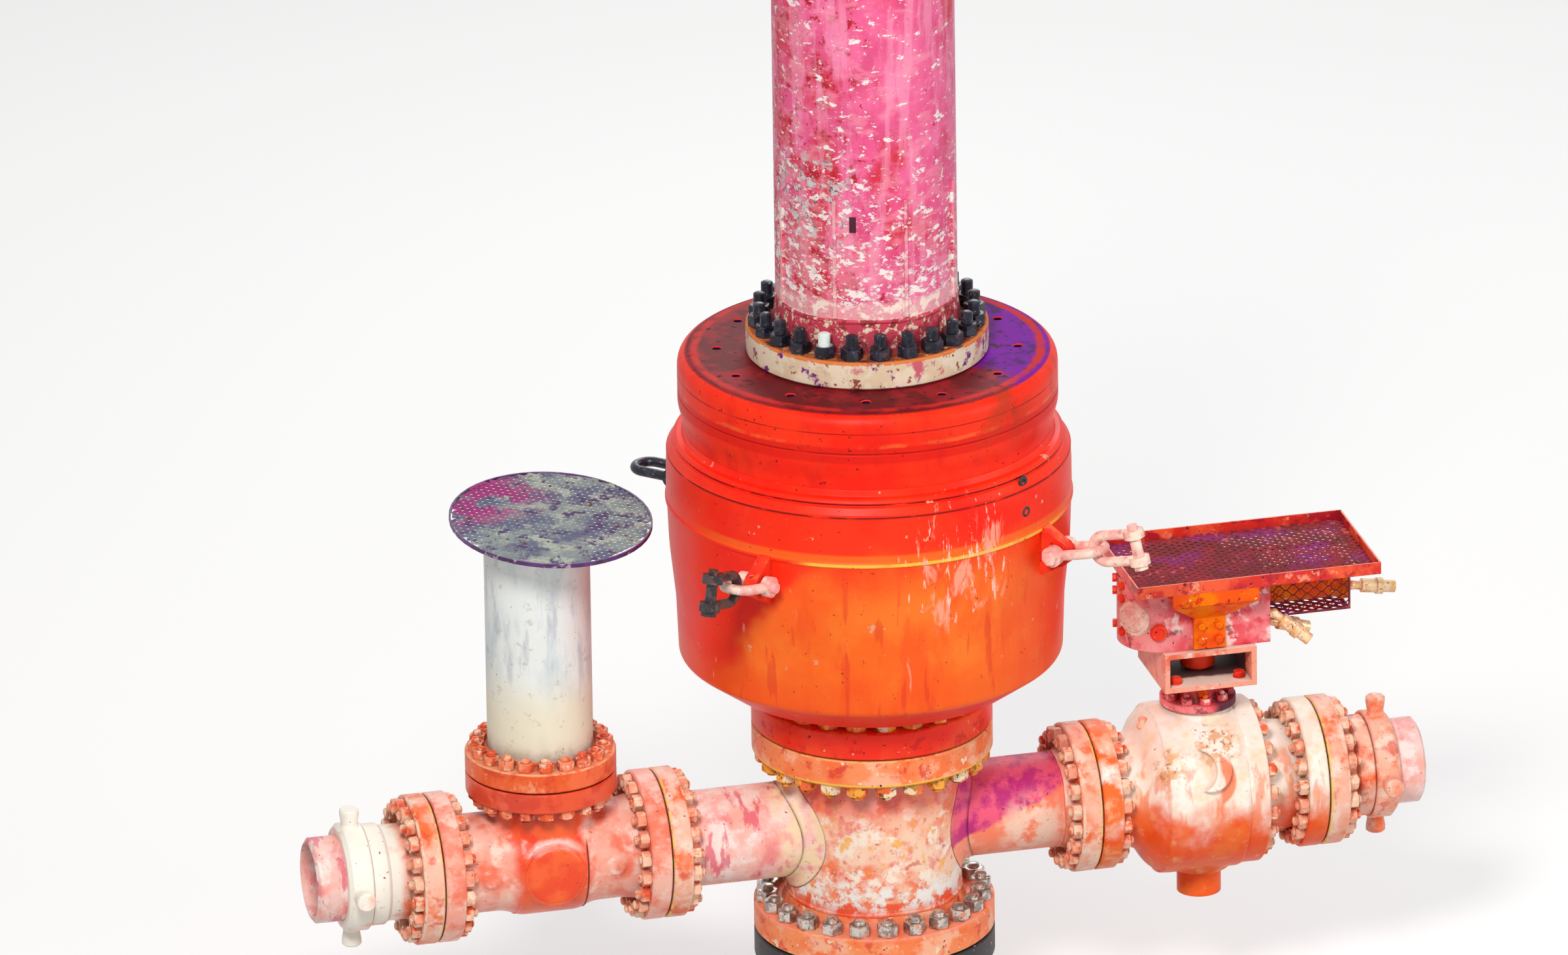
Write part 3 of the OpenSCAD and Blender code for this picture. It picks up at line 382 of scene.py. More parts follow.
class Paint(Nodes):
    """A weathered surface: a base coat, then layers of colour, roughness and height laid over it.

    Places and sizes are in metres. A mask is a node socket that is 0 where a layer is absent and
    1 where it is full.
    """

    def __init__(self, name, colour, rough=0.45, metallic=0.0):
        self.material = bpy.data.materials.new(name)
        super().__init__(self.material)
        self.coords = self.node("ShaderNodeTexCoord")
        self.place = self.coords.outputs["Object"]
        self.split = None
        self.colour = linear(colour)
        self.rough = rough
        self.metallic = metallic
        self.height = 0.0
        self.seed = sum(ord(letter) for letter in name) % 97

    def axis(self, name):
        """The x, y or z of a point on the surface."""
        if self.split is None:
            self.split = self.node("ShaderNodeSeparateXYZ")
            self.feed(self.place, self.split.inputs[0])
        return self.split.outputs["xyz".index(name)]

    def vector(self, operation, first, second, output="Vector"):
        node = self.node("ShaderNodeVectorMath", operation=operation)
        self.feed(first, node.inputs[0])
        self.feed(second, node.inputs[1])
        return node.outputs[output]

    def noise(self, size, detail=5.0, grain=0.55, stretch=(1, 1, 1), warp=0.0):
        """Cloudy pattern, about size across, longer along an axis where stretch is over 1."""
        self.seed += 1
        mapping = self.node("ShaderNodeMapping")
        self.feed(self.place, mapping.inputs["Vector"])
        mapping.inputs["Location"].default_value = (self.seed * 3.17, self.seed * 1.71, self.seed * 2.39)
        mapping.inputs["Scale"].default_value = [1 / (size * s) for s in stretch]
        node = self.node("ShaderNodeTexNoise")
        self.feed(mapping.outputs[0], node.inputs["Vector"])
        node.inputs["Scale"].default_value = 1.0
        node.inputs["Detail"].default_value = detail
        node.inputs["Roughness"].default_value = grain
        node.inputs["Distortion"].default_value = warp
        return node.outputs["Fac"]

    def wavy(self, value, size, amount, detail=5.0):
        """The value, raised here and there by clouds of that size."""
        return self.calc("MULTIPLY_ADD", self.noise(size, detail), amount, value)

    def ragged(self, value, wobble, size):
        """The value, shifted to and fro where wobble is over 0."""
        if not wobble:
            return value
        return self.calc("MULTIPLY_ADD", self.calc("SUBTRACT", self.noise(size), 0.5), wobble * 4, value)

    def ramp(self, value, start, end):
        """Smooth step from 0 at start to 1 at end."""
        node = self.node("ShaderNodeMapRange", interpolation_type="SMOOTHSTEP", clamp=True)
        self.feed(value, node.inputs["Value"])
        node.inputs["From Min"].default_value = start
        node.inputs["From Max"].default_value = end
        return node.outputs[0]

    def past(self, name, start, end):
        """Mask along an axis, from 0 at start to 1 at end."""
        return self.ramp(self.axis(name), start, end)

    def span(self, value, start, end, soft):
        """Mask of the values from start to end."""
        rise = self.ramp(value, start - soft, start + soft)
        return self.where(rise, self.ramp(value, end + soft, end - soft))

    def zone(self, name, start, end, soft=0.01, wobble=0.0, size=0.1):
        """Mask between two places along an axis, with a ragged edge where wobble is over 0."""
        return self.span(self.ragged(self.axis(name), wobble, size), start, end, soft)

    def distance(self, across, centre):
        """Distance from the line through centre that runs along the axis left out of across."""
        squares = []
        for name, place in zip(across, centre):
            offset = self.calc("SUBTRACT", self.axis(name), place)
            squares.append(self.calc("MULTIPLY", offset, offset))
        return self.calc("SQRT", self.calc("ADD", *squares))

    def ring(self, across, centre, inner, outer, soft=0.004, wobble=0.0, size=0.05):
        """Mask between two radii about an axis."""
        return self.span(self.ragged(self.distance(across, centre), wobble, size), inner, outer, soft)

    def spot(self, centre, radius, soft=0.5, wobble=0.0, size=0.1, squash=(1, 1, 1)):
        """Mask round a place, full at its middle and gone at the radius."""
        offset = self.vector("SUBTRACT", self.place, centre)
        away = self.vector("LENGTH", self.vector("MULTIPLY", offset, squash), (0, 0, 0), "Value")
        return self.ramp(self.ragged(away, wobble, size), radius, radius * (1 - soft))

    def upward(self, start, end):
        """Mask of what faces up: start and end are heights of the unit normal."""
        up = self.vector("DOT_PRODUCT", self.coords.outputs["Normal"], (0, 0, 1), "Value")
        return self.ramp(up, start, end)

    def patches(self, size, start, soft=0.02, detail=5.0, grain=0.6, stretch=(1, 1, 1), warp=0.0, bias=None):
        """Mask of irregular patches: the higher start is, the fewer there are; bias adds to the noise."""
        value = self.noise(size, detail, grain, stretch, warp)
        if bias is not None:
            value = self.calc("ADD", value, bias)
        return self.ramp(value, start - soft, start + soft)

    def where(self, *masks):
        """Mask of what lies in all of the masks."""
        total = masks[0]
        for mask in masks[1:]:
            total = self.calc("MULTIPLY", total, mask)
        return total

    def either(self, a, b):
        return self.calc("MAXIMUM", a, b)

    def outside(self, mask):
        return self.calc("SUBTRACT", 1.0, mask)

    def thin(self, mask, share):
        return self.calc("MULTIPLY", mask, share)

    def between(self, mask, a, b):
        mix = self.node("ShaderNodeMix", data_type="FLOAT")
        self.feed(mask, mix.inputs[0])
        self.feed(a, mix.inputs[2])
        self.feed(b, mix.inputs[3])
        return mix.outputs[0]

    def coat(self, mask, colour, rough=None, lift=0.0, metallic=None):
        """Lays a colour over the mask; lift is its height in metres."""
        mix = self.node("ShaderNodeMix", data_type="RGBA")
        self.feed(mask, mix.inputs[0])
        self.feed(self.colour, mix.inputs[6])
        self.feed(linear(colour), mix.inputs[7])
        self.colour = mix.outputs[2]
        if rough is not None:
            self.rough = self.between(mask, self.rough, rough)
        if metallic is not None:
            self.metallic = self.between(mask, self.metallic, metallic)
        if lift:
            self.height = self.calc("MULTIPLY_ADD", mask, lift, self.height)

    def mottle(self, colour, size, start, soft=0.02, detail=5.0, within=None, share=1.0, rough=None,
               lift=0.0, metallic=None, **pattern):
        """Lays a colour in irregular patches, within a mask and thinned to a share where these are given."""
        mask = self.patches(size, start, soft, detail, **pattern)
        if within is not None:
            mask = self.where(within, mask)
        if share < 1.0:
            mask = self.thin(mask, share)
        self.coat(mask, colour, rough, lift, metallic)

    def texture(self, size, height, detail=4.0, grain=0.6):
        """Adds cloudy relief of that height."""
        self.height = self.calc("MULTIPLY_ADD", self.noise(size, detail, grain), height, self.height)
        return self

    def finish(self, bevel=0.0, shade_and_grime=0.0, shade_and_grime_colour=(60, 30, 25), specular=0.5):
        """Joins the layers in the shader, with painted shade and grime in crevices where asked, and returns
        the material.
        """
        shader = self.node("ShaderNodeBsdfPrincipled")
        # Painted shade and grime: crevices found by ambient occlusion are darkened towards the given colour.
        if shade_and_grime:
            crevice = self.node("ShaderNodeAmbientOcclusion", samples=4)
            crevice.inputs["Distance"].default_value = 0.06
            self.coat(self.thin(self.ramp(crevice.outputs["AO"], 0.75, 0.15), shade_and_grime), shade_and_grime_colour, 0.8)
        self.feed(self.colour, shader.inputs["Base Color"])
        self.feed(self.rough, shader.inputs["Roughness"])
        self.feed(self.metallic, shader.inputs["Metallic"])
        shader.inputs["Specular IOR Level"].default_value = specular
        bump = self.node("ShaderNodeBump")
        bump.inputs["Distance"].default_value = 1.0
        self.feed(self.height, bump.inputs["Height"])
        if bevel:
            edge = self.node("ShaderNodeBevel", samples=4)
            edge.inputs["Radius"].default_value = bevel
            self.feed(edge.outputs[0], bump.inputs["Normal"])
        self.feed(bump.outputs[0], shader.inputs["Normal"])
        self.feed(shader.outputs[0], self.node("ShaderNodeOutputMaterial").inputs["Surface"])
        return self.material


def riser_paint():
    """Pink-magenta paint, red where it is worn and, towards the left, red as painted shade, with pale flakes
    that crowd towards the foot.
    """
    p = Paint("riser_paint", (230, 84, 138), 0.45)
    lower = p.past("z", RISER_Z + 1.0, RISER_Z + 0.25)
    left = p.past("x", 0.05, -0.28)
    p.mottle((238, 112, 160), 0.3, 0.5, 0.12)
    p.mottle((208, 58, 112), 0.12, 0.52, 0.08, stretch=(1, 1, 2), share=0.6)
    # Painted shade: the left mask adds red and dark red patches on the left side; the lower mask adds them
    # towards the foot as wear.
    bias = p.calc("MULTIPLY_ADD", left, 0.1, p.calc("MULTIPLY", lower, 0.05))
    p.mottle((210, 44, 68), 0.2, 0.6, 0.08, 6, grain=0.62, stretch=(1, 1, 1.4), bias=bias, rough=0.5,
             lift=-0.0003)
    p.mottle((180, 22, 40), 0.05, 0.66, 0.03, 7, grain=0.7, bias=bias, rough=0.55, lift=-0.0002)
    p.mottle((246, 166, 196), 0.11, 0.56, 0.05, stretch=(0.6, 0.6, 5), share=0.4)
    flake_bias = p.calc("MULTIPLY_ADD", lower, 0.07, p.calc("MULTIPLY", left, 0.02))
    p.mottle((246, 160, 176), 0.09, 0.58, 0.07, 6, stretch=(1, 1, 0.45), bias=flake_bias,
             share=0.4, rough=0.5)
    p.mottle((246, 232, 230), 0.05, 0.62, 0.014, 7, grain=0.68, stretch=(1, 1, 0.62), warp=0.25,
             bias=flake_bias, rough=0.6, lift=-0.0005)
    p.mottle((240, 210, 210), 0.024, 0.665, 0.015, 5, stretch=(1, 1, 0.6), bias=flake_bias,
             rough=0.62, lift=-0.0004)
    foot = p.zone("z", RISER_Z + 0.2, RISER_Z + 0.27, 0.012, 0.01)
    p.coat(p.thin(foot, 0.6), (240, 176, 180), 0.55)
    p.mottle((250, 226, 214), 0.05, 0.55, 0.03, 7, within=foot, rough=0.65, lift=0.0003)
    chip = p.where(p.spot((-0.24, -0.2, RISER_Z + 0.62), 0.24, 0.7), p.patches(0.045, 0.54, 0.03, 8, 0.7))
    p.coat(chip, (206, 196, 198), 0.6, -0.0006)
    p.mottle((96, 60, 66), 0.02, 0.58, 0.02, within=chip, rough=0.7)
    slot_x = -0.1165
    slot_w = 0.021
    slot_z = RISER_Z + 0.551
    slot_h = 0.056
    across = p.zone("x", slot_x - slot_w / 2, slot_x + slot_w / 2, 0.001)
    upright = p.zone("z", slot_z - slot_h / 2, slot_z + slot_h / 2, 0.002)
    # Painted shade: the slot is dark inside, as well as sunk by the bump.
    p.coat(p.where(across, upright, p.past("y", -0.1, -0.2)), (70, 24, 44), 0.7, -0.003)
    rib = p.calc("GREATER_THAN", p.distance("xy", (0, 0)), RISER_R + 0.0064)
    p.mottle((248, 190, 190), 0.05, 0.46, 0.08, within=rib, share=0.55, rough=0.5)
    p.mottle((96, 24, 40), 0.012, 0.7, 0.01, rough=0.7)
    p.texture(0.012, 0.0006).texture(0.15, 0.004, 2)
    return p.finish(0.003, specular=0.3)


def riser_flange_paint():
    """Dirty cream rim with rose stains, rusty top face and rose hub with a cream crust."""
    p = Paint("riser_flange_paint", (226, 204, 172), 0.55)
    p.mottle((236, 222, 196), 0.09, 0.5, 0.05, 7)
    p.mottle((206, 96, 116), 0.12, 0.58, 0.05, 7, grain=0.65)
    p.mottle((120, 34, 128), 0.05, 0.62, 0.03, rough=0.6)
    p.mottle((150, 70, 50), 0.035, 0.63, 0.02, rough=0.7, lift=-0.0004)
    top = p.upward(0.5, 0.8)
    p.coat(top, (150, 66, 34), 0.75)
    p.mottle((206, 110, 54), 0.06, 0.5, 0.06, 7, within=top, rough=0.7)
    p.mottle((70, 30, 26), 0.05, 0.57, 0.04, 7, within=top, rough=0.8)
    p.mottle((232, 196, 150), 0.04, 0.61, 0.03, within=top, rough=0.7)
    hub = p.ring("xy", (0, 0), 0.0, 0.327, 0.003)
    p.coat(hub, (196, 52, 78), 0.5)
    p.mottle((240, 210, 186), 0.03, 0.55, 0.03, 8, grain=0.7, within=hub, rough=0.65, lift=0.0005)
    p.mottle((150, 26, 40), 0.04, 0.56, 0.03, within=hub, rough=0.6)
    lip = p.where(p.zone("z", RISER_Z + 0.088, RISER_Z + 0.1, 0.003, 0.003),
                  p.ring("xy", (0, 0), 0.395, 0.42))
    p.mottle((222, 120, 48), 0.05, 0.45, 0.06, within=lip, rough=0.7)
    p.texture(0.01, 0.0008).texture(0.05, 0.001)
    return p.finish(0.004, 0.5)


def cap_paint():
    """Red cap with darker bands; its top has painted shade from the riser, maroon in front and violet at the
    right and back.
    """
    p = Paint("cap_paint", (252, 36, 14), 0.42)
    p.mottle((254, 54, 24), 0.35, 0.5, 0.12)
    band = p.zone("z", CAP_Z + 0.1, CAP_Z + 0.155, 0.006, 0.004, 0.3)
    p.coat(p.thin(band, 0.75), (222, 26, 16), 0.45)
    for z in (CAP_Z + 0.132, RISER_Z - 0.066):
        line = p.zone("z", z - 0.002, z + 0.002, 0.0015)
        p.mottle((140, 14, 14), 0.2, 0.42, 0.1, within=line, share=0.8, rough=0.6)
    p.mottle((250, 92, 44), 0.1, 0.5, 0.06, within=p.zone("z", CAP_Z + 0.155, CAP_Z + 0.168, 0.004, 0.004))
    p.mottle((206, 22, 22), 0.12, 0.58, 0.08, stretch=(1, 1, 2), share=0.4)
    p.mottle((120, 20, 20), 0.02, 0.67, 0.015, rough=0.6)
    shoulder = p.spot((0.3, -0.48, RISER_Z - 0.02), 0.24, 0.8, 0.02)
    p.mottle((160, 60, 26), 0.12, 0.5, 0.1, within=shoulder, share=0.6, rough=0.5)
    # Painted shade: the top face is dark maroon, violet towards the right and back, as where the riser's
    # shadow falls.
    top = p.upward(0.86, 0.97)
    p.coat(top, (104, 12, 22), 0.6)
    p.mottle((150, 22, 34), 0.12, 0.52, 0.08, within=top)
    side = p.calc("MULTIPLY_ADD", p.axis("y"), 0.55, p.axis("x"))
    violet = p.where(top, p.ramp(p.wavy(side, 0.12, 0.25), 0.22, 0.36))
    p.coat(violet, (124, 4, 164), 0.7)
    p.mottle((76, 10, 104), 0.07, 0.55, 0.06, within=violet)
    p.mottle((140, 16, 130), 0.05, 0.6, 0.04, within=violet, share=0.5)
    # Painted shade: the jack holes are dark purple inside.
    hole = p.where(p.zone("z", RISER_Z - 0.06, RISER_Z - 0.003, 0.001), p.ring("xy", (0, 0), 0.47, 0.54))
    p.coat(hole, (46, 10, 60), 0.7)
    p.mottle((60, 10, 20), 0.04, 0.64, 0.03, within=top, rough=0.7)
    # Red left along the top's outer edge, outside the painted shade.
    rim = p.ring("xy", (0, 0), 0.568, 0.594, 0.008, 0.006)
    p.mottle((206, 34, 30), 0.15, 0.45, 0.08, within=p.where(top, rim))
    p.texture(0.012, 0.0005).texture(0.2, 0.004, 2)
    return p.finish(specular=0.15)


def body_paint():
    """Bright red, with painted sunlight in orange low on the front and a painted highlight along the belt,
    scratched pale pink at the right.
    """
    p = Paint("body_paint", (252, 34, 14), 0.4)
    p.mottle((254, 52, 22), 0.4, 0.5, 0.1)
    front = p.past("y", -0.1, -0.45)
    # Painted sunlight: orange low on the front, its ragged upper and left edges like those of a cast shadow.
    lit = p.ramp(p.wavy(p.axis("z"), 0.25, 0.3), BELT_Z + 0.22, BELT_Z - 0.06)
    lean = p.calc("MULTIPLY_ADD", p.axis("z"), -0.5, p.wavy(p.axis("x"), 0.2, 0.2, 3))
    lit = p.where(lit, p.ramp(lean, -1.29, -1.23))
    lit = p.where(lit, p.past("x", 0.62, 0.3))
    glow = p.where(front, lit)
    p.coat(glow, (255, 104, 30))
    p.mottle((255, 124, 40), 0.3, 0.5, 0.1, within=glow)
    p.mottle((248, 78, 26), 0.14, 0.57, 0.05, stretch=(1, 1, 4), within=glow, share=0.5)
    p.coat(p.thin(p.zone("z", BODY_Z, BODY_Z + 0.2, 0.06, 0.02), 0.6), (250, 84, 24))
    p.coat(p.zone("z", BODY_Z - 0.01, BODY_Z + 0.095, 0.008), (250, 44, 24), 0.4)
    # Painted highlight: a pale amber line along the belt's ridge on the front.
    ridge_highlight = p.where(p.zone("z", BELT_Z - 0.003, BELT_Z + 0.011, 0.002), p.ramp(lean, -1.33, -1.26))
    ridge_highlight = p.where(ridge_highlight, front, p.past("x", 0.66, 0.5))
    p.mottle((255, 196, 70), 0.2, 0.38, 0.1, within=ridge_highlight, rough=0.35)
    for z in (CAP_Z - 0.042, CAP_Z - 0.078):
        line = p.zone("z", z - 0.0025, z + 0.0025, 0.002)
        p.mottle((110, 10, 16), 0.15, 0.4, 0.08, within=line, rough=0.6)
    # Painted sunlight: an orange band just above the belt on the front.
    p.coat(p.where(p.zone("z", BELT_Z + 0.01, BELT_Z + 0.04, 0.006), p.thin(front, 0.5)), (252, 132, 40))
    p.mottle((226, 48, 30), 0.045, 0.62, 0.03, 4, grain=0.5, stretch=(1, 1, 9), warp=0.2, within=glow,
             share=0.5, rough=0.4)
    scuff_place = p.spot((0.15, -0.64, BELT_Z - 0.03), 0.36, 0.8)
    bias = p.calc("MULTIPLY_ADD", scuff_place, 0.14, -0.11)
    p.mottle((255, 176, 150), 0.07, 0.6, 0.05, 6, stretch=(0.8, 0.8, 2.6), warp=0.5, bias=bias,
             share=0.75, rough=0.55, lift=-0.0003)
    p.mottle((255, 214, 196), 0.03, 0.62, 0.03, 7, grain=0.65, stretch=(0.6, 0.6, 3), warp=0.3,
             bias=bias, share=0.8, rough=0.55)
    p.mottle((128, 20, 20), 0.016, 0.69, 0.01, rough=0.6)
    p.mottle((240, 160, 130), 0.05, 0.68, 0.015, 7, rough=0.55, lift=-0.0003)
    p.texture(0.01, 0.0005).texture(0.22, 0.004, 2)
    return p.finish(specular=0.18)


def red_paint():
    """Worn red paint of the preventer's base, eyes and valve stem."""
    p = Paint("red_paint", (250, 46, 26), 0.4)
    p.mottle((252, 72, 36), 0.2, 0.5, 0.1)
    p.mottle((206, 28, 26), 0.06, 0.6, 0.05, 7, share=0.7, rough=0.5)
    p.mottle((250, 110, 52), 0.08, 0.5, 0.06, within=p.upward(0.5, 0.9))
    p.mottle((96, 26, 22), 0.02, 0.66, 0.015, rough=0.7)
    p.mottle((246, 178, 150), 0.03, 0.68, 0.015, 7, rough=0.6)
    p.texture(0.012, 0.0006)
    return p.finish(0.004, 0.3, (110, 10, 14), 0.25)


def spool_paint():
    """Barrel mottled cream, pink and orange, with amber accents and a white crust low down."""
    p = Paint("spool_paint", (255, 204, 172), 0.45)
    p.mottle((253, 222, 198), 0.22, 0.5, 0.12, 5)
    p.mottle((248, 128, 84), 0.14, 0.55, 0.1, 6)
    p.mottle((242, 110, 104), 0.1, 0.59, 0.07, 6, share=0.8)
    p.mottle((254, 238, 220), 0.08, 0.57, 0.05, 7, grain=0.65, rough=0.55)
    p.mottle((250, 176, 50), 0.05, 0.62, 0.05, 6, share=0.8)
    p.mottle((214, 84, 60), 0.03, 0.62, 0.05, 7, share=0.7, rough=0.6)
    shade = p.zone("z", LINE_Z + 0.12, PREVENTER_Z, 0.05, 0.03)
    p.coat(p.thin(shade, 0.7), (236, 84, 74))
    base = p.zone("z", SPOOL_Z, SPOOL_Z + 0.185, 0.006, 0.01)
    p.coat(base, (246, 96, 58), 0.45)
    p.mottle((250, 138, 100), 0.1, 0.5, 0.1, within=base)
    crust = p.zone("z", SPOOL_Z + 0.15, SPOOL_Z + 0.25, 0.03, 0.015, 0.06)
    p.mottle((246, 244, 240), 0.04, 0.5, 0.05, 8, grain=0.7, within=crust, rough=0.65, lift=0.0006)
    p.mottle((150, 60, 40), 0.012, 0.7, 0.012, rough=0.7)
    p.texture(0.012, 0.0008).texture(0.08, 0.002)
    return p.finish(0.004, 0.3, (170, 50, 30), 0.35)


def spool_flange_paint():
    """Orange rims with pinkish patches and an amber edge."""
    p = Paint("spool_flange_paint", (252, 122, 64), 0.45)
    p.mottle((254, 150, 96), 0.14, 0.5, 0.1)
    p.mottle((254, 186, 150), 0.1, 0.54, 0.07, 7)
    p.mottle((226, 60, 46), 0.06, 0.6, 0.05, 7, share=0.8, rough=0.5)
    p.mottle((252, 222, 190), 0.045, 0.64, 0.02, 7, rough=0.6, lift=-0.0003)
    edge = p.zone("z", PREVENTER_Z - 0.1, PREVENTER_Z - 0.088, 0.003, 0.002)
    p.mottle((253, 196, 70), 0.08, 0.42, 0.1, within=edge)
    seam = p.either(p.zone("z", PREVENTER_Z - 0.006, PREVENTER_Z + 0.01, 0.003),
                    p.zone("z", SPOOL_Z - 0.01, SPOOL_Z + 0.008, 0.003))
    p.mottle((252, 200, 120), 0.05, 0.46, 0.06, within=seam, rough=0.6)
    p.mottle((250, 150, 120), 0.08, 0.48, 0.08, within=p.zone("z", SPOOL_Z + 0.09, SPOOL_Z + 0.12, 0.01))
    p.mottle((110, 36, 24), 0.018, 0.67, 0.012, rough=0.7)
    p.texture(0.012, 0.0007)
    return p.finish(0.004, 0.3, (150, 40, 20), 0.3)


def outlet_paint():
    """Rose and white on the left; a painted shadow in purple-rose above salmon on the right outlet; pink
    line tails.
    """
    p = Paint("outlet_paint", (254, 182, 168), 0.45)
    p.mottle((253, 212, 204), 0.15, 0.5, 0.1, 6)
    p.mottle((240, 120, 128), 0.12, 0.57, 0.08, 7, stretch=(0.8, 1.6, 1.6), share=0.7)
    p.mottle((254, 236, 230), 0.09, 0.54, 0.08, 6, share=0.9, rough=0.5)
    p.mottle((226, 60, 104), 0.07, 0.58, 0.03, 6, stretch=(0.8, 2.5, 2.5),
             within=p.past("x", -0.3, -0.34), share=0.7)
    near = p.ramp(p.distance("xy", (0, 0)), 0.42, 0.36)
    p.mottle((254, 224, 186), 0.07, 0.48, 0.08, 6, within=near, rough=0.55)
    right = p.where(p.past("x", 0.1, 0.3), p.past("x", RIGHT_FACE_X + 0.3, RIGHT_FACE_X + 0.2))
    p.mottle((255, 136, 98), 0.2, 0.4, 0.12, within=right, share=0.95)
    # Painted shadow: the right outlet's upper part is purple-rose above a slanting edge, as where the
    # preventer's shadow falls.
    line = p.calc("MULTIPLY_ADD", p.axis("x"), -0.42, p.wavy(p.axis("z"), 0.1, 0.08))
    above = p.ramp(line, LINE_Z - 0.13, LINE_Z - 0.11)
    p.coat(p.where(right, above), (240, 92, 128), 0.5)
    p.mottle((190, 40, 122), 0.09, 0.53, 0.08, within=p.where(right, above))
    patch = p.spot((0.52, -0.16, LINE_Z - 0.04), 0.15, 0.6, 0.03)
    p.mottle((253, 218, 196), 0.06, 0.46, 0.08, 6, within=patch, share=0.9, rough=0.55)
    p.mottle((160, 60, 56), 0.016, 0.68, 0.015, 6, rough=0.65)
    p.texture(0.012, 0.0007).texture(0.1, 0.002)
    return p.finish(0.004, 0.3, (140, 40, 40), 0.35)


def line_paint():
    """Pink and orange paint of the line flanges, flaked cream at the seams of each pair."""
    p = Paint("line_paint", (254, 174, 144), 0.45)
    p.mottle((255, 196, 172), 0.16, 0.49, 0.12, 6)
    p.mottle((250, 112, 50), 0.13, 0.55, 0.09, 6)
    p.mottle((255, 226, 206), 0.08, 0.56, 0.08, 7, share=0.85, rough=0.5)
    p.mottle((226, 70, 50), 0.06, 0.61, 0.06, 6, share=0.7)
    far_left = p.past("x", LEFT_END_X - 0.1, LEFT_END_X - 0.14)
    p.coat(p.where(far_left, p.ramp(p.noise(0.12, 5), 0.3, 0.46)), (255, 250, 238), 0.5)
    for x in (LEFT_END_X, LEFT_FACE_X, RIGHT_FACE_X, RIGHT_END_X):
        seam = p.where(p.zone("x", x - 0.01, x + 0.01, 0.003), p.ring("yz", (0, LINE_Z), 0.235, 0.3, 0.004))
        p.mottle((253, 216, 120), 0.03, 0.5, 0.05, 7, within=seam, rough=0.65, lift=0.0004)
        for side in (-1, 1):
            back = x + side * LINE["t"]
            rim = p.ring("yz", (0, LINE_Z), 0.243, 0.3, 0.003)
            edge = p.where(p.zone("x", back - 0.007, back + 0.007, 0.003), rim)
            p.mottle((254, 222, 196), 0.05, 0.5, 0.06, 7, within=edge, rough=0.6)
    p.mottle((140, 60, 40), 0.014, 0.69, 0.012, 5, rough=0.7, lift=-0.0002)
    p.texture(0.012, 0.0008)
    return p.finish(0.004, 0.5, (120, 34, 24), 0.35)


def tee_paint():
    """Orange-red in the tee's middle and under its branch, pink at both ends, with a painted highlight above
    the front boss and painted shade along its right edge.
    """
    p = Paint("tee_paint", (253, 164, 142), 0.36)
    p.mottle((254, 194, 176), 0.2, 0.5, 0.12)
    p.mottle((246, 104, 66), 0.12, 0.54, 0.09, 6, share=0.8)
    wave = p.wavy(p.axis("x"), 0.12, 0.1, 5)
    middle_mask = p.where(p.ramp(wave, TEE_X - 0.11, TEE_X - 0.05), p.ramp(wave, TEE_X + 0.2, TEE_X + 0.14))
    p.coat(middle_mask, (242, 72, 30), 0.34)
    p.mottle((250, 100, 44), 0.12, 0.5, 0.08, within=middle_mask)
    above = p.ramp(p.wavy(p.axis("z"), 0.08, 0.08, 5), LINE_Z + 0.18, LINE_Z + 0.24)
    above = p.where(above, p.ring("xy", (TEE_X, 0), 0.0, LINE_OD / 2 + 0.004))
    p.coat(p.thin(above, 0.9), (238, 84, 42))
    p.mottle((216, 58, 32), 0.08, 0.52, 0.08, within=above, share=0.8)
    # Painted highlight: a pale crescent along the top of the front boss.
    shine = p.ring("xz", (TEE_X, LINE_Z - 0.005), 0.108, 0.128, 0.012, 0.01)
    shine = p.where(shine, p.past("y", -0.1, -0.14), p.past("z", LINE_Z + 0.06, LINE_Z + 0.1))
    p.coat(p.thin(shine, 0.85), (255, 222, 214), 0.3)
    ends = p.where(p.outside(middle_mask), p.outside(above))
    p.mottle((255, 226, 210), 0.07, 0.58, 0.08, 6, within=ends, share=0.8, rough=0.5)
    # Painted shade: a dark line down the lower right edge of the front boss.
    seam = p.zone("x", TEE_X + 0.112, TEE_X + 0.118, 0.002, 0.001, 0.2)
    p.coat(p.where(seam, p.past("z", LINE_Z + 0.12, LINE_Z + 0.08)), (110, 20, 14), 0.6)
    p.mottle((140, 50, 36), 0.014, 0.69, 0.012, 5, rough=0.65)
    p.texture(0.02, 0.0008).texture(0.1, 0.004, 3)
    return p.finish(0, 0.35, (130, 34, 22), 0.45)


def branch_paint():
    """Orange flange pair under the cylinder, with a fine pale edge."""
    p = Paint("branch_paint", (238, 92, 34), 0.42)
    p.mottle((247, 112, 64), 0.14, 0.5, 0.1)
    p.mottle((216, 62, 30), 0.08, 0.56, 0.07, 7, share=0.8)
    p.mottle((250, 170, 130), 0.05, 0.62, 0.05, 7, share=0.7, rough=0.6)
    for z in (BRANCH_Z - LINE["t"], BRANCH_Z + LINE["t"]):
        edge = p.zone("z", z - 0.004, z + 0.004, 0.002)
        p.mottle((252, 196, 150), 0.06, 0.45, 0.06, 7, within=edge, share=0.8, rough=0.6)
    p.coat(p.zone("z", BRANCH_Z - 0.003, BRANCH_Z + 0.003, 0.001), (60, 14, 10), 0.8)
    top = p.upward(0.6, 0.9)
    p.mottle((248, 150, 106), 0.08, 0.46, 0.09, 7, within=top, share=0.7, rough=0.6)
    p.mottle((120, 44, 28), 0.014, 0.69, 0.012, rough=0.7)
    p.texture(0.012, 0.0007)
    return p.finish(0.004, 0.5, (120, 30, 20), 0.35)


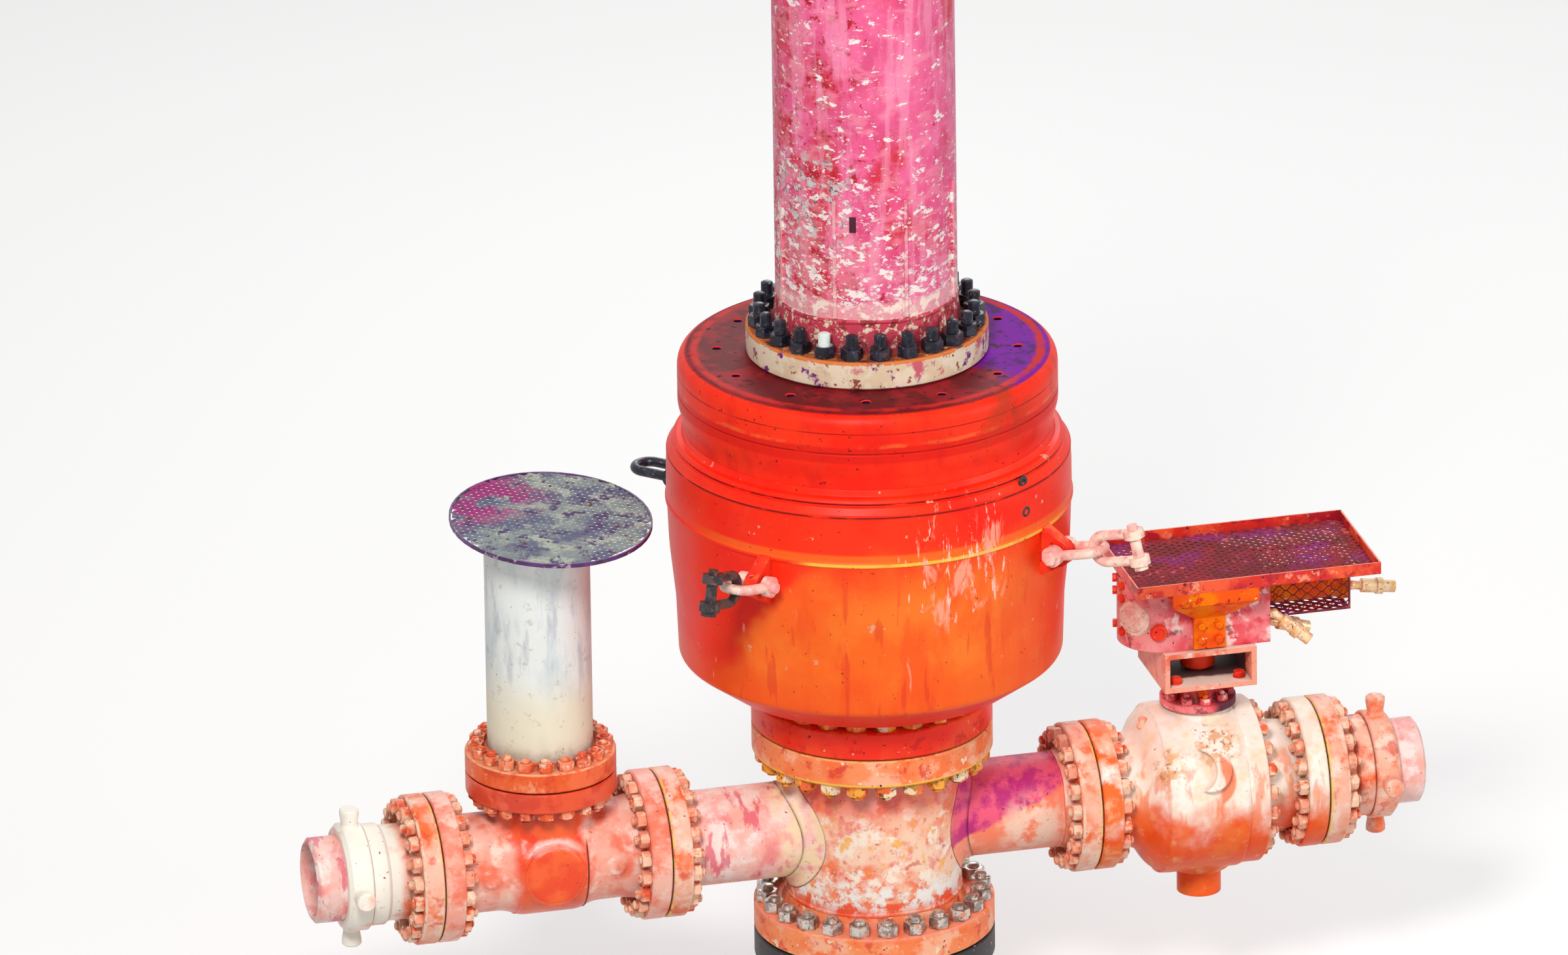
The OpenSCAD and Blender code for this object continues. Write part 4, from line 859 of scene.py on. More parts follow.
def cylinder_paint():
    """White paint gone blue-grey, lightly streaked, cream at its foot."""
    p = Paint("cylinder_paint", (238, 243, 242), 0.42)
    p.mottle((236, 240, 238), 0.2, 0.5, 0.12, 6)
    p.mottle((200, 214, 218), 0.12, 0.54, 0.1, 6, stretch=(1, 1, 3), share=0.7)
    p.mottle((184, 192, 202), 0.05, 0.6, 0.07, 6, stretch=(1, 1, 5), share=0.6, rough=0.5)
    p.coat(p.thin(p.zone("z", CYLINDER_Z, CYLINDER_Z + 0.26, 0.1, 0.03), 0.9), (240, 232, 206), 0.5)
    p.mottle((196, 182, 150), 0.08, 0.5, 0.1, within=p.zone("z", CYLINDER_Z, CYLINDER_Z + 0.06, 0.03, 0.02),
             share=0.6, rough=0.6)
    p.mottle((196, 186, 172), 0.05, 0.62, 0.04, 8, grain=0.7, share=0.6, rough=0.6)
    p.mottle((150, 130, 120), 0.014, 0.69, 0.012, 6, rough=0.7, lift=-0.0002)
    p.texture(0.012, 0.0005).texture(0.15, 0.003, 2)
    return p.finish(0.003, 0.35, (110, 96, 90), 0.3)


def valve_paint():
    """Cream and pink above as painted sunlight, orange below, mottled, with brown and orange chips."""
    p = Paint("valve_paint", (255, 243, 226), 0.42)
    p.mottle((255, 250, 240), 0.14, 0.5, 0.1, 6)
    p.mottle((254, 206, 180), 0.12, 0.57, 0.1, 6, share=0.45)
    p.mottle((252, 206, 130), 0.07, 0.58, 0.07, 6, share=0.4)
    # Painted sunlight: the upper half stays cream, and the body turns orange below a wavy line.
    edge = p.wavy(p.axis("z"), 0.14, 0.36, 6)
    below = p.ramp(edge, LINE_Z + 0.24, LINE_Z + 0.06)
    p.coat(below, (252, 92, 26), 0.4)
    p.mottle((254, 114, 46), 0.14, 0.55, 0.1, 6, within=below)
    p.mottle((244, 74, 30), 0.1, 0.56, 0.1, 6, within=below, share=0.6)
    p.mottle((254, 190, 140), 0.05, 0.62, 0.05, 7, within=below, share=0.5, rough=0.5)
    near = p.where(p.past("x", RIGHT_FACE_X + 0.1, RIGHT_FACE_X + 0.06), p.ring("yz", (0, LINE_Z), 0.2, 0.3))
    p.coat(p.where(near, p.ramp(p.noise(0.14, 6), 0.4, 0.52)), (250, 116, 50), 0.42)
    p.mottle((255, 190, 150), 0.08, 0.56, 0.08, 6, within=near, share=0.8, rough=0.5)
    waist = p.zone("z", LINE_Z - 0.1, LINE_Z + 0.16, 0.08)
    p.mottle((250, 120, 60), 0.05, 0.57, 0.05, 5, grain=0.55, stretch=(1, 1, 5), within=waist, share=0.6)
    chipped = p.either(p.spot((VALVE_X - 0.17, -0.24, LINE_Z + 0.17), 0.09, 0.7, 0.02, 0.05),
                       p.spot((VALVE_X + 0.01, -0.2, LINE_Z + 0.22), 0.12, 0.7, 0.02, 0.05))
    p.mottle((226, 160, 96), 0.035, 0.52, 0.05, 7, within=chipped, share=0.8, rough=0.6, lift=-0.0003)
    p.mottle((190, 112, 62), 0.02, 0.6, 0.03, 7, within=chipped, share=0.8, rough=0.7, lift=-0.0004)
    p.mottle((196, 120, 84), 0.014, 0.7, 0.012, 6, rough=0.7, lift=-0.0002)
    lug = p.ring("xz", (VALVE_X - 0.03, LINE_Z + 0.115), 0.046, 0.09, 0.006)
    lug = p.where(lug, p.past("y", -0.2, -0.22), p.past("x", VALVE_X, VALVE_X + 0.014))
    p.coat(p.thin(lug, 0.85), (246, 124, 74), 0.5)
    p.texture(0.02, 0.0012).texture(0.08, 0.003, 3)
    return p.finish(0.004, 0.35, (150, 60, 36), 0.2)


def housing_paint():
    """Rose-red paint with pink and white patches; the stem's foot flange has painted shade, dark, at its
    right.
    """
    p = Paint("housing_paint", (218, 52, 66), 0.42)
    p.mottle((236, 88, 98), 0.12, 0.5, 0.1)
    p.mottle((250, 144, 148), 0.09, 0.54, 0.08, 7, share=0.85, rough=0.5)
    p.mottle((254, 222, 216), 0.06, 0.6, 0.05, 7, share=0.9, rough=0.55)
    left = p.past("x", VALVE_X - 0.1, VALVE_X - 0.2)
    p.mottle((252, 160, 160), 0.1, 0.46, 0.09, 7, within=left, rough=0.5)
    p.mottle((130, 20, 38), 0.06, 0.6, 0.05, share=0.8, rough=0.55)
    # Painted shade: the right part of the stem's foot flange is dark maroon.
    foot = p.where(p.past("z", BRACKET_Z - 0.07, BRACKET_Z - 0.085), p.ring("xy", (VALVE_X, 0), 0.09, 0.2))
    p.coat(p.where(foot, p.past("x", VALVE_X + 0.01, VALVE_X + 0.05)), (84, 24, 46), 0.6)
    p.mottle((80, 24, 34), 0.014, 0.68, 0.012, rough=0.7)
    p.texture(0.012, 0.0007)
    return p.finish(0.005, 0.45, (70, 16, 26), 0.35)


def bracket_paint():
    """Orange-pink bracket with painted sunlight, white, on its upward faces and painted shade inside."""
    p = Paint("bracket_paint", (252, 160, 130), 0.45)
    p.mottle((251, 168, 142), 0.1, 0.5, 0.1, 6)
    p.mottle((242, 88, 50), 0.07, 0.56, 0.07, 7, share=0.8)
    # Painted sunlight: upward faces turn white.
    p.coat(p.thin(p.upward(0.5, 0.8), 0.9), (254, 240, 226), 0.5)
    p.mottle((252, 230, 216), 0.04, 0.62, 0.05, 7, share=0.8, rough=0.55)
    # Painted shade: the inside of the bracket, back from its front window, is dark maroon.
    low_z = BRACKET_Z + 0.008
    high_z = ACTUATOR_Z - 0.008
    within = p.where(p.zone("z", low_z, high_z, 0.001), p.zone("x", VALVE_X - 0.148, VALVE_X + 0.148, 0.001))
    within = p.where(within, p.ramp(p.wavy(p.axis("y"), 0.1, 0.05, 4), -0.085, -0.06))
    p.coat(p.thin(within, 0.95), (66, 20, 28), 0.7)
    p.mottle((130, 50, 40), 0.02, 0.69, 0.015, 7, rough=0.7, lift=-0.0002)
    p.texture(0.012, 0.0007)
    return p.finish(0.004, 0.5, (110, 30, 26), 0.35)


def hanger_paint():
    """Bright orange paint of the platform's hangers and the hydraulic cylinder."""
    p = Paint("hanger_paint", (255, 128, 4), 0.4)
    p.mottle((252, 90, 24), 0.1, 0.5, 0.08)
    p.mottle((228, 60, 28), 0.05, 0.62, 0.03, 7, rough=0.5)
    p.mottle((255, 206, 160), 0.03, 0.66, 0.015, 7, rough=0.55, lift=-0.0002)
    p.mottle((110, 40, 20), 0.016, 0.66, 0.012, rough=0.7)
    p.texture(0.012, 0.0005)
    return p.finish(0.003, 0.3, (150, 40, 10), 0.1)


def platform_paint():
    """Red and orange rim of the service platform."""
    p = Paint("platform_paint", (222, 46, 36), 0.42)
    p.mottle((246, 92, 52), 0.14, 0.5, 0.06)
    p.mottle((184, 26, 44), 0.1, 0.56, 0.04, 7)
    p.mottle((250, 150, 120), 0.06, 0.61, 0.03, 7, rough=0.5)
    p.mottle((250, 128, 92), 0.1, 0.44, 0.06, within=p.upward(0.5, 0.8))
    p.mottle((90, 20, 26), 0.02, 0.65, 0.015, rough=0.7)
    p.texture(0.012, 0.0006)
    return p.finish(0.003, 0.35, (80, 16, 24), 0.35)


def red_mesh_paint():
    """Dark red strands with violet-pink patches, orange near the front."""
    p = Paint("red_mesh_paint", (112, 10, 24), 0.5)
    p.mottle((146, 20, 36), 0.14, 0.5, 0.1)
    p.mottle((136, 20, 96), 0.12, 0.56, 0.06)
    front = p.ramp(p.wavy(p.axis("y"), 0.1, 0.16), -0.1, -0.2)
    p.coat(p.thin(front, 0.7), (214, 52, 44))
    p.mottle((226, 120, 104), 0.04, 0.64, 0.04, share=0.6, rough=0.55)
    p.mottle((84, 16, 26), 0.02, 0.63, 0.02, rough=0.7)
    p.texture(0.006, 0.0006)
    return p.finish()


def grey_mesh_paint():
    """Galvanised grey-green strands, magenta at the back left."""
    p = Paint("grey_mesh_paint", (136, 148, 148), 0.5, 0.2)
    p.mottle((96, 100, 128), 0.16, 0.5, 0.08)
    p.mottle((168, 178, 166), 0.1, 0.56, 0.05)
    back = p.spot((TEE_X - 0.18, 0.26, STEP_Z), 0.34, 0.6, 0.03)
    p.mottle((158, 36, 118), 0.12, 0.46, 0.06, within=back, rough=0.5, metallic=0.1)
    p.mottle((80, 60, 104), 0.05, 0.59, 0.04, rough=0.55, metallic=0.1)
    p.mottle((96, 60, 46), 0.03, 0.64, 0.02, rough=0.75, metallic=0.0)
    p.texture(0.006, 0.0006)
    return p.finish()


def purple_rim_paint():
    """Dark purple rim of the step, scraped to steel."""
    p = Paint("purple_rim_paint", (74, 28, 92), 0.48)
    p.mottle((96, 48, 118), 0.15, 0.5, 0.08)
    p.mottle((52, 22, 60), 0.08, 0.57, 0.04, 7)
    p.mottle((166, 150, 170), 0.05, 0.62, 0.02, 7, rough=0.4, lift=-0.0002, metallic=0.6)
    p.mottle((100, 56, 40), 0.02, 0.65, 0.015, rough=0.75)
    p.texture(0.01, 0.0006)
    return p.finish(0.002)


def black_paint():
    """Dull black paint with rust and a little overspray."""
    p = Paint("black_paint", (26, 24, 28), 0.5)
    p.mottle((40, 36, 42), 0.16, 0.5, 0.08, rough=0.55)
    p.mottle((92, 52, 34), 0.07, 0.6, 0.03, 7, rough=0.75, lift=-0.0003)
    p.mottle((130, 76, 44), 0.04, 0.65, 0.02, 7, rough=0.8, lift=-0.0003)
    p.mottle((150, 140, 138), 0.05, 0.67, 0.02, 7, rough=0.5)
    p.texture(0.012, 0.0007)
    return p.finish(0.004)


def black_steel():
    """Blackened studs and nuts."""
    p = Paint("black_steel", (30, 31, 42), 0.34, 0.35)
    p.mottle((52, 54, 72), 0.03, 0.55, 0.06, rough=0.3)
    p.mottle((88, 52, 40), 0.02, 0.63, 0.03, rough=0.7, metallic=0.0)
    p.mottle((150, 150, 166), 0.012, 0.66, 0.02, rough=0.35)
    turn = 2 * math.pi * 15.5 / WELL["count"]
    marked = (WELL["circle"] / 2 * math.cos(turn), WELL["circle"] / 2 * math.sin(turn), RISER_Z + 0.165)
    p.coat(p.spot(marked, 0.045, 0.2, squash=(1, 1, 1.2)), (226, 236, 232), 0.5, metallic=0.0)
    p.texture(0.005, 0.0003)
    return p.finish()


def bright_steel():
    """Plated studs and nuts, dulled by salt."""
    p = Paint("bright_steel", (206, 198, 190), 0.28, 0.9)
    p.mottle((150, 142, 136), 0.03, 0.52, 0.06, rough=0.4)
    p.mottle((112, 78, 58), 0.015, 0.62, 0.03, rough=0.7, metallic=0.2)
    p.mottle((236, 150, 110), 0.04, 0.64, 0.03, rough=0.5, metallic=0.0)
    p.texture(0.004, 0.0003)
    return p.finish()


def gold_nut_paint():
    """Nuts at the preventer's base flange: gold, orange or cream from one to the next."""
    p = Paint("gold_nut_paint", (250, 170, 60), 0.4)
    p.mottle((240, 104, 40), 0.1, 0.5, 0.03, 2)
    p.mottle((250, 226, 190), 0.12, 0.6, 0.02, 2)
    p.mottle((196, 132, 40), 0.08, 0.58, 0.03, 2, rough=0.35)
    p.mottle((120, 60, 24), 0.015, 0.6, 0.03, rough=0.65)
    p.texture(0.005, 0.0004)
    return p.finish()


def nut_paint(name, colours):
    """Painted nuts, chipped to rust, their colour changing from one to the next."""
    p = Paint(name, colours[0], 0.45)
    p.mottle(colours[1], 0.09, 0.5, 0.06, 3)
    p.mottle(colours[2], 0.07, 0.57, 0.06, 4)
    p.mottle((254, 226, 196), 0.03, 0.58, 0.05, 6, share=0.8, rough=0.55)
    p.mottle((150, 70, 44), 0.02, 0.64, 0.04, 5, share=0.7, rough=0.7)
    p.texture(0.004, 0.0004)
    return p.finish(0, 0.5, (110, 34, 24), 0.35)


def shackle_paint(name, colour, second):
    """Pale paint of a shackle in two tones, lightly chipped."""
    p = Paint(name, colour, 0.42)
    p.mottle(second, 0.07, 0.5, 0.05, 6)
    p.mottle((206, 120, 104), 0.04, 0.6, 0.06, 7, share=0.7, rough=0.6)
    p.mottle((70, 46, 44), 0.012, 0.69, 0.02, rough=0.75, lift=-0.0002)
    p.texture(0.005, 0.0004)
    return p.finish()


def dark_link():
    """Blackened link, rusty in places."""
    p = Paint("dark_link", (44, 38, 42), 0.42, 0.3)
    p.mottle((78, 66, 66), 0.05, 0.52, 0.05, 6)
    p.mottle((118, 74, 54), 0.02, 0.6, 0.03, 6, rough=0.7, metallic=0.0)
    p.texture(0.005, 0.0005)
    return p.finish()


def brass_paint():
    """Pale brass couplings."""
    p = Paint("brass_paint", (250, 216, 172), 0.34, 0.35)
    p.mottle((240, 186, 130), 0.04, 0.5, 0.06, 5)
    p.mottle((252, 240, 222), 0.02, 0.6, 0.03, 6, rough=0.5, metallic=0.0)
    p.mottle((120, 70, 50), 0.012, 0.63, 0.02, rough=0.7, metallic=0.0)
    p.texture(0.004, 0.0003)
    return p.finish(0.002)


def rubber():
    """Black rubber of the packing unit."""
    p = Paint("rubber", (30, 28, 28), 0.6)
    p.mottle((46, 43, 42), 0.05, 0.52, 0.06, rough=0.7)
    p.mottle((72, 66, 62), 0.01, 0.62, 0.02, rough=0.8)
    p.texture(0.004, 0.0005)
    return p.finish()


def ball_steel():
    """Polished ball with fine wear lines."""
    p = Paint("ball_steel", (214, 216, 220), 0.12, 1.0)
    p.mottle((190, 192, 198), 0.06, 0.55, 0.06, 5, stretch=(1, 5, 1), rough=0.22)
    p.mottle((150, 146, 140), 0.02, 0.64, 0.02, rough=0.35)
    p.texture(0.003, 0.00005)
    return p.finish()


# Every paint, under the name that pieces ask for it by
paints = {
    "riser": riser_paint(),
    "riser_flange": riser_flange_paint(),
    "cap": cap_paint(),
    "body": body_paint(),
    "red": red_paint(),
    "spool": spool_paint(),
    "spool_flange": spool_flange_paint(),
    "outlet": outlet_paint(),
    "line": line_paint(),
    "tee": tee_paint(),
    "branch": branch_paint(),
    "cylinder": cylinder_paint(),
    "valve": valve_paint(),
    "housing": housing_paint(),
    "bracket": bracket_paint(),
    "hanger": hanger_paint(),
    "platform": platform_paint(),
    "red_mesh": red_mesh_paint(),
    "grey_mesh": grey_mesh_paint(),
    "purple_rim": purple_rim_paint(),
    "black": black_paint(),
    "black_steel": black_steel(),
    "bright_steel": bright_steel(),
    "gold_nuts": gold_nut_paint(),
    "line_nuts": nut_paint("line_nut_paint", ((251, 166, 134), (254, 208, 178), (242, 100, 54))),
    "branch_nuts": nut_paint("branch_nut_paint", ((238, 96, 50), (250, 150, 110), (206, 60, 36))),
    "pale_shackle": shackle_paint("pale_shackle_paint", (252, 220, 204), (246, 176, 170)),
    "pink_shackle": shackle_paint("pink_shackle_paint", (246, 190, 180), (252, 226, 206)),
    "dark_link": dark_link(),
    "brass": brass_paint(),
    "rubber": rubber(),
    "ball": ball_steel(),
}

# The nodes of the frame that wear each paint
PAINTED = {
    "black": "casing_base_flange casing_neck casing_top_flange",
    "spool_flange": "spool_base_flange spool_top_flange",
    "spool": "spool_barrel",
    "outlet": "left_outlet_pipe right_outlet_pipe left_line_tail right_line_tail",
    "line": "left_outlet_flange right_outlet_flange left_line_flange right_line_flange"
            " left_union_nut right_union_nut",
    "red": "preventer_base_flange lifting_eyes valve_stem",
    "body": "preventer_body",
    "cap": "preventer_cap",
    "rubber": "packing_unit",
    "riser_flange": "riser_base_flange",
    "riser": "riser_pipe riser_top_flange",
    "tee": "branch_tee",
    "branch": "branch_flange",
    "cylinder": "branch_cylinder cylinder_end_plate",
    "purple_rim": "step_rim",
    "grey_mesh": "step_mesh",
    "valve": "valve_body valve_closure lower_trunnion",
    "ball": "valve_ball",
    "housing": "stem_housing actuator_housing",
    "bracket": "actuator_bracket",
    "hanger": "hydraulic_cylinder cylinder_guard platform_hanger",
    "platform": "platform_frame",
    "red_mesh": "platform_mesh",
    "brass": "hose_couplings",
    "pale_shackle": "front_right_shackle front_left_shackle",
    "pink_shackle": "front_right_link",
    "dark_link": "front_left_link",
    "black_steel": "back_left_shackle back_right_shackle",
}
for paint_name, node_names in PAINTED.items():
    for node_name in node_names.split():
        for material_slot in nodes[node_name].material_slots:
            material_slot.material = paints[paint_name]


# Studs and nuts

def add_bolts(nuts, studs, size, base, seed, stand, spread):
    """Nuts and stud ends of one flange face; stand is how far the studs stand above the nuts."""
    rng = random.Random(seed)
    nut = hex_nut(size["nut"], size["nut_h"], size["stud"] / 2)
    sunk = 0.004
    for place in circle(size["count"], size["circle"] / 2):
        lowered = Matrix.Translation((0, 0, rng.uniform(-0.0008, 0)))
        place = base @ place @ lowered @ Matrix.Rotation(rng.uniform(0, math.pi / 3), 4, "Z")
        nuts.add(nut, place)
        length = stand + rng.uniform(-spread, spread)
        studs.add(stud_end(size["stud"], length + sunk),
                  place @ Matrix.Translation((0, 0, size["nut_h"] - sunk)))


def bolt_pieces(name, faces, size, paint, slot, stand, spread):
    """Nuts and studs of some flange faces as two pieces."""
    nuts = Batch()
    studs = Batch()
    for i, face in enumerate(faces):
        add_bolts(nuts, studs, size, face, len(name) * 31 + i, stand, spread)
    nuts.build(f"{name}_nuts", paint, slot)
    studs.build(f"{name}_studs", paint, slot)


def well_bolts():
    """Studs of the flanges on the stack's axis: the joint they clamp and the side they show on."""
    for name, joint_z, side, paint, slot, stand, spread in (
            ("riser", RISER_Z, 1, "black_steel", "dark_steel", 0.042, 0.004),
            ("preventer_base", PREVENTER_Z, 1, "gold_nuts", "well_red", 0.007, 0.004),
            ("spool_top", PREVENTER_Z, -1, "gold_nuts", "orange_paint", 0.012, 0.006),
            ("spool_base", SPOOL_Z, 1, "bright_steel", "bare_steel", 0.014, 0.006),
            ("casing_top", SPOOL_Z, -1, "black_steel", "dark_steel", 0.02, 0.008)):
        face = up_from(joint_z + side * WELL["t"], side)
        bolt_pieces(name, [face], WELL, paint, slot, stand, spread)


def line_bolts():
    """Studs of the flange pairs along the lines, under the branch cylinder and in the valve."""
    seams = {"left_end": LEFT_END_X, "left_outlet": LEFT_FACE_X, "right_outlet": RIGHT_FACE_X,
             "right_end": RIGHT_END_X}
    for name, x in seams.items():
        faces = [along_x(x + side * LINE["t"], side) for side in (-1, 1)]
        bolt_pieces(name, faces, LINE, "line_nuts", "faded_orange", 0.01, 0.006)
    faces = [up_from(BRANCH_Z + side * LINE["t"], side, TEE_X) for side in (1, -1)]
    bolt_pieces("branch", faces, LINE, "branch_nuts", "orange_paint", 0.009, 0.005)
    face = along_x(SEAM_X + CLOSURE["t"], 1)
    bolt_pieces("closure", [face], CLOSURE, "line_nuts", "cream_paint", 0.008, 0.003)


# Preventer, turned with finer rounding and its small grooves

def apply_modifiers(piece):
    graph = bpy.context.evaluated_depsgraph_get()
    mesh = bpy.data.meshes.new_from_object(piece.evaluated_get(graph))
    piece.modifiers.clear()
    piece.data = mesh


def cut_with(piece, cutter):
    """Takes the cutter's solids out of the piece and deletes the cutter."""
    modifier = piece.modifiers.new("cut", "BOOLEAN")
    modifier.operation = "DIFFERENCE"
    modifier.solver = "EXACT"
    modifier.object = cutter
    apply_modifiers(piece)
    bpy.data.objects.remove(cutter)
    piece.data.set_sharp_from_angle(angle=CREASE)


def preventer_body():
    """Body with its sloping foot, belt, and two fine grooves and a lip below the cap."""
    belt_r = high("preventer_body").x
    seat_r = 0.48
    groove_z = CAP_Z - 0.08
    lip_z = CAP_Z - 0.022
    outline = rounded([
        (BORE_R, BODY_Z, 0.004), (0.5, BODY_Z, 0.012), (0.645, BODY_Z + 0.104, 0.014),
        (0.652, BODY_Z + 0.3, 0.02), (belt_r - 0.012, BODY_Z + 0.49, 0.03),
        (belt_r - 0.006, BELT_Z - 0.004, 0.003), (belt_r, BELT_Z - 0.001, 0.003),
        (belt_r, BELT_Z + 0.011, 0.004), (belt_r - 0.004, BELT_Z + 0.017, 0.004),
        (belt_r - 0.005, lip_z - 0.082, 0.03), (belt_r - 0.009, groove_z - 0.004, 0.003),
        (belt_r - 0.006, groove_z - 0.002, 0.002), (belt_r - 0.006, groove_z + 0.004, 0.002),
        (belt_r - 0.012, groove_z + 0.008, 0.003), (belt_r - 0.024, lip_z - 0.026, 0.004),
        (belt_r - 0.034, lip_z - 0.024, 0.003), (belt_r - 0.034, lip_z - 0.016, 0.003),
        (belt_r - 0.028, lip_z - 0.014, 0.003), (belt_r - 0.038, lip_z - 0.001, 0.006),
        (0.625, lip_z, 0.003), (CAP_FOOT_R, CAP_Z, 0.002), (seat_r, CAP_Z, 0.002),
        (seat_r, CAP_Z - 0.06, 0.002), (BORE_R, CAP_Z - 0.06, 0.004),
    ], 5)
    body = Batch().add(lathe(outline, 256))
    body.build("preventer_body_casting", "body", "well_red", ["preventer_body"])


def preventer_cap():
    """Cap with a waist, a fine groove, a round shoulder and twelve jack holes in its top."""
    groove_z = CAP_Z + 0.132
    outline = rounded([
        (BORE_R, CAP_Z, 0.004), (CAP_FOOT_R, CAP_Z, 0.002), (CAP_FOOT_R, CAP_Z + 0.03, 0.014),
        (CAP_R, CAP_Z + 0.09, 0.016), (CAP_R, groove_z - 0.004, 0.002),
        (CAP_R - 0.003, groove_z - 0.002, 0.001), (CAP_R - 0.003, groove_z + 0.002, 0.001),
        (CAP_R, groove_z + 0.004, 0.002), (CAP_R, RISER_Z, 0.056), (BORE_R, RISER_Z, 0.004),
    ], 10)
    cap = Batch().add(lathe(outline, 256))
    cap = cap.build("preventer_cap_casting", "cap", "well_red", ["preventer_cap"])
    hole_depth = 0.04
    hole = knob([(0.015, 0, 0), (0.015, 0.037, 0), (0.018, hole_depth + 0.0005, 0)], 24)
    holes = Batch()
    for place in circle(12, 0.503, RISER_Z - hole_depth):
        holes.add(hole, Matrix.Translation(place.translation))
    cut_with(cap, holes.build("jack_hole_cutter", "cap"))


# Cast skins: rough forms grown together and smoothed, worn over the CAD's bored solids

def casting(name, shapes, paint, slot, voxel=0.006, passes=6):
    """One cast form out of overlapping shapes."""
    batch = Batch()
    for shape, place in shapes:
        batch.add(shape, place)
    piece = batch.build(name, paint, slot)
    remesh = piece.modifiers.new("grow", "REMESH")
    remesh.mode = "VOXEL"
    remesh.voxel_size = voxel
    smooth = piece.modifiers.new("smooth", "SMOOTH")
    smooth.factor = 0.5
    smooth.iterations = passes
    apply_modifiers(piece)
    piece.data.polygons.foreach_set("use_smooth", [True] * len(piece.data.polygons))
    return piece


def tee_casting():
    """Run and branch of the tee, with a boss and two plugs on the front."""
    gap = 0.002
    start = LEFT_END_X + LINE["t"] + gap
    run = LEFT_FACE_X - LEFT_END_X - 2 * LINE["t"] - 2 * gap
    half = run / 2
    neck_r = 0.181
    run_r = 0.169
    middle_r = 0.191
    barrel = [
        (neck_r, 0, 0.002), (neck_r, 0.006, 0.01), (run_r, 0.05, 0.02), (run_r, half - 0.15, 0.03),
        (middle_r, half - 0.1, 0.02), (middle_r, half + 0.1, 0.02), (run_r, half + 0.15, 0.03),
        (run_r, run - 0.05, 0.02), (neck_r, run - 0.006, 0.01), (neck_r, run, 0.002)]
    branch = [(0.178, 0, 0), (run_r, 0.1, 0.05), (run_r, 0.2, 0.02), (neck_r, 0.247, 0.004),
              (neck_r, 0.249, 0.001)]
    boss = [(0.112, 0, 0), (0.106, middle_r, 0.012), (0.09, 0.2, 0.01)]
    plug = knob([(0.036, 0, 0), (0.03, 0.176, 0.006)], 32, 0.002)
    shapes = [(knob(barrel, 96), along_x(start, 1)), (knob(branch, 96), up_from(LINE_Z, 1, TEE_X)),
              (knob(boss, 64), along_y(TEE_X, 0, LINE_Z, -1))]
    for side in (-1, 1):
        shapes.append((plug, along_y(TEE_X + side * 0.216, 0, LINE_Z, -1)))
    casting("tee_casting", shapes, "tee", "orange_paint")


def behind_stem(place):
    """Whether a place on the valve's skin lies inside the stem's housing or the lower trunnion."""
    return math.hypot(place.x - VALVE_X, place.y) < 0.048 and abs(place.z - LINE_Z) > 0.25


def valve_casting():
    """Round-shouldered body of the valve with a boss above and below."""
    gap = 0.001
    start = RIGHT_FACE_X + LINE["t"] + gap
    length = SEAM_X - start - gap
    body_r = 0.292
    shell = [(0.2, 0, 0.004), (0.188, 0.03, 0.02), (0.192, 0.085, 0.03), (0.288, 0.14, 0.06),
             (body_r, 0.19, 0.04), (body_r, length, 0.006)]
    shapes = [(knob(shell, 128, arc=6), along_x(start, 1))]
    for side, reach in ((1, 0.303), (-1, 0.296)):
        boss = [(0.125, 0, 0), (0.118, reach - 0.03, 0.02), (0.106, reach, 0.006)]
        shapes.append((knob(boss, 64, arc=4), up_from(LINE_Z, side, VALVE_X)))
    piece = casting("valve_casting", shapes, "valve", "cream_paint")
    shape = bmesh.new()
    shape.from_mesh(piece.data)
    hidden = [face for face in shape.faces if behind_stem(face.calc_center_median())]
    bmesh.ops.delete(shape, geom=hidden, context="FACES")
    shape.to_mesh(piece.data)
    shape.free()


# Welds

def on_barrel(r, turn):
    """Where a pipe of radius r along X meets the spool's barrel, a little proud of the barrel."""
    barrel_r = BARREL_R + 0.0008
    y = r * math.cos(turn)
    return Vector((math.sqrt(barrel_r ** 2 - y * y), y, r * math.sin(turn)))


def outlet_fillet(name, side):
    """Smooth weld between an outlet pipe and the spool's barrel, all round the pipe."""
    pipe_r = OUTLET_R + 0.0015
    leg = 0.04
    steps = 144
    section = 8
    verts = []
    for i in range(steps):
        turn = 2 * math.pi * i / steps
        corner = on_barrel(pipe_r, turn)
        pipe_end = corner + Vector((leg, 0, 0))
        barrel_end = on_barrel(pipe_r + leg, turn)
        for k in range(section):
            t = k / (section - 1)
            verts.append(pipe_end * (1 - t) ** 2 + corner * 2 * t * (1 - t) + barrel_end * t ** 2)
        verts.append(corner - Vector((0.004, 0, 0)))
    place = placed(0, 0, LINE_Z, 0 if side > 0 else math.pi)
    Batch().add((verts, loop_faces(steps, section + 1)), place).build(name, "outlet", "faded_orange")


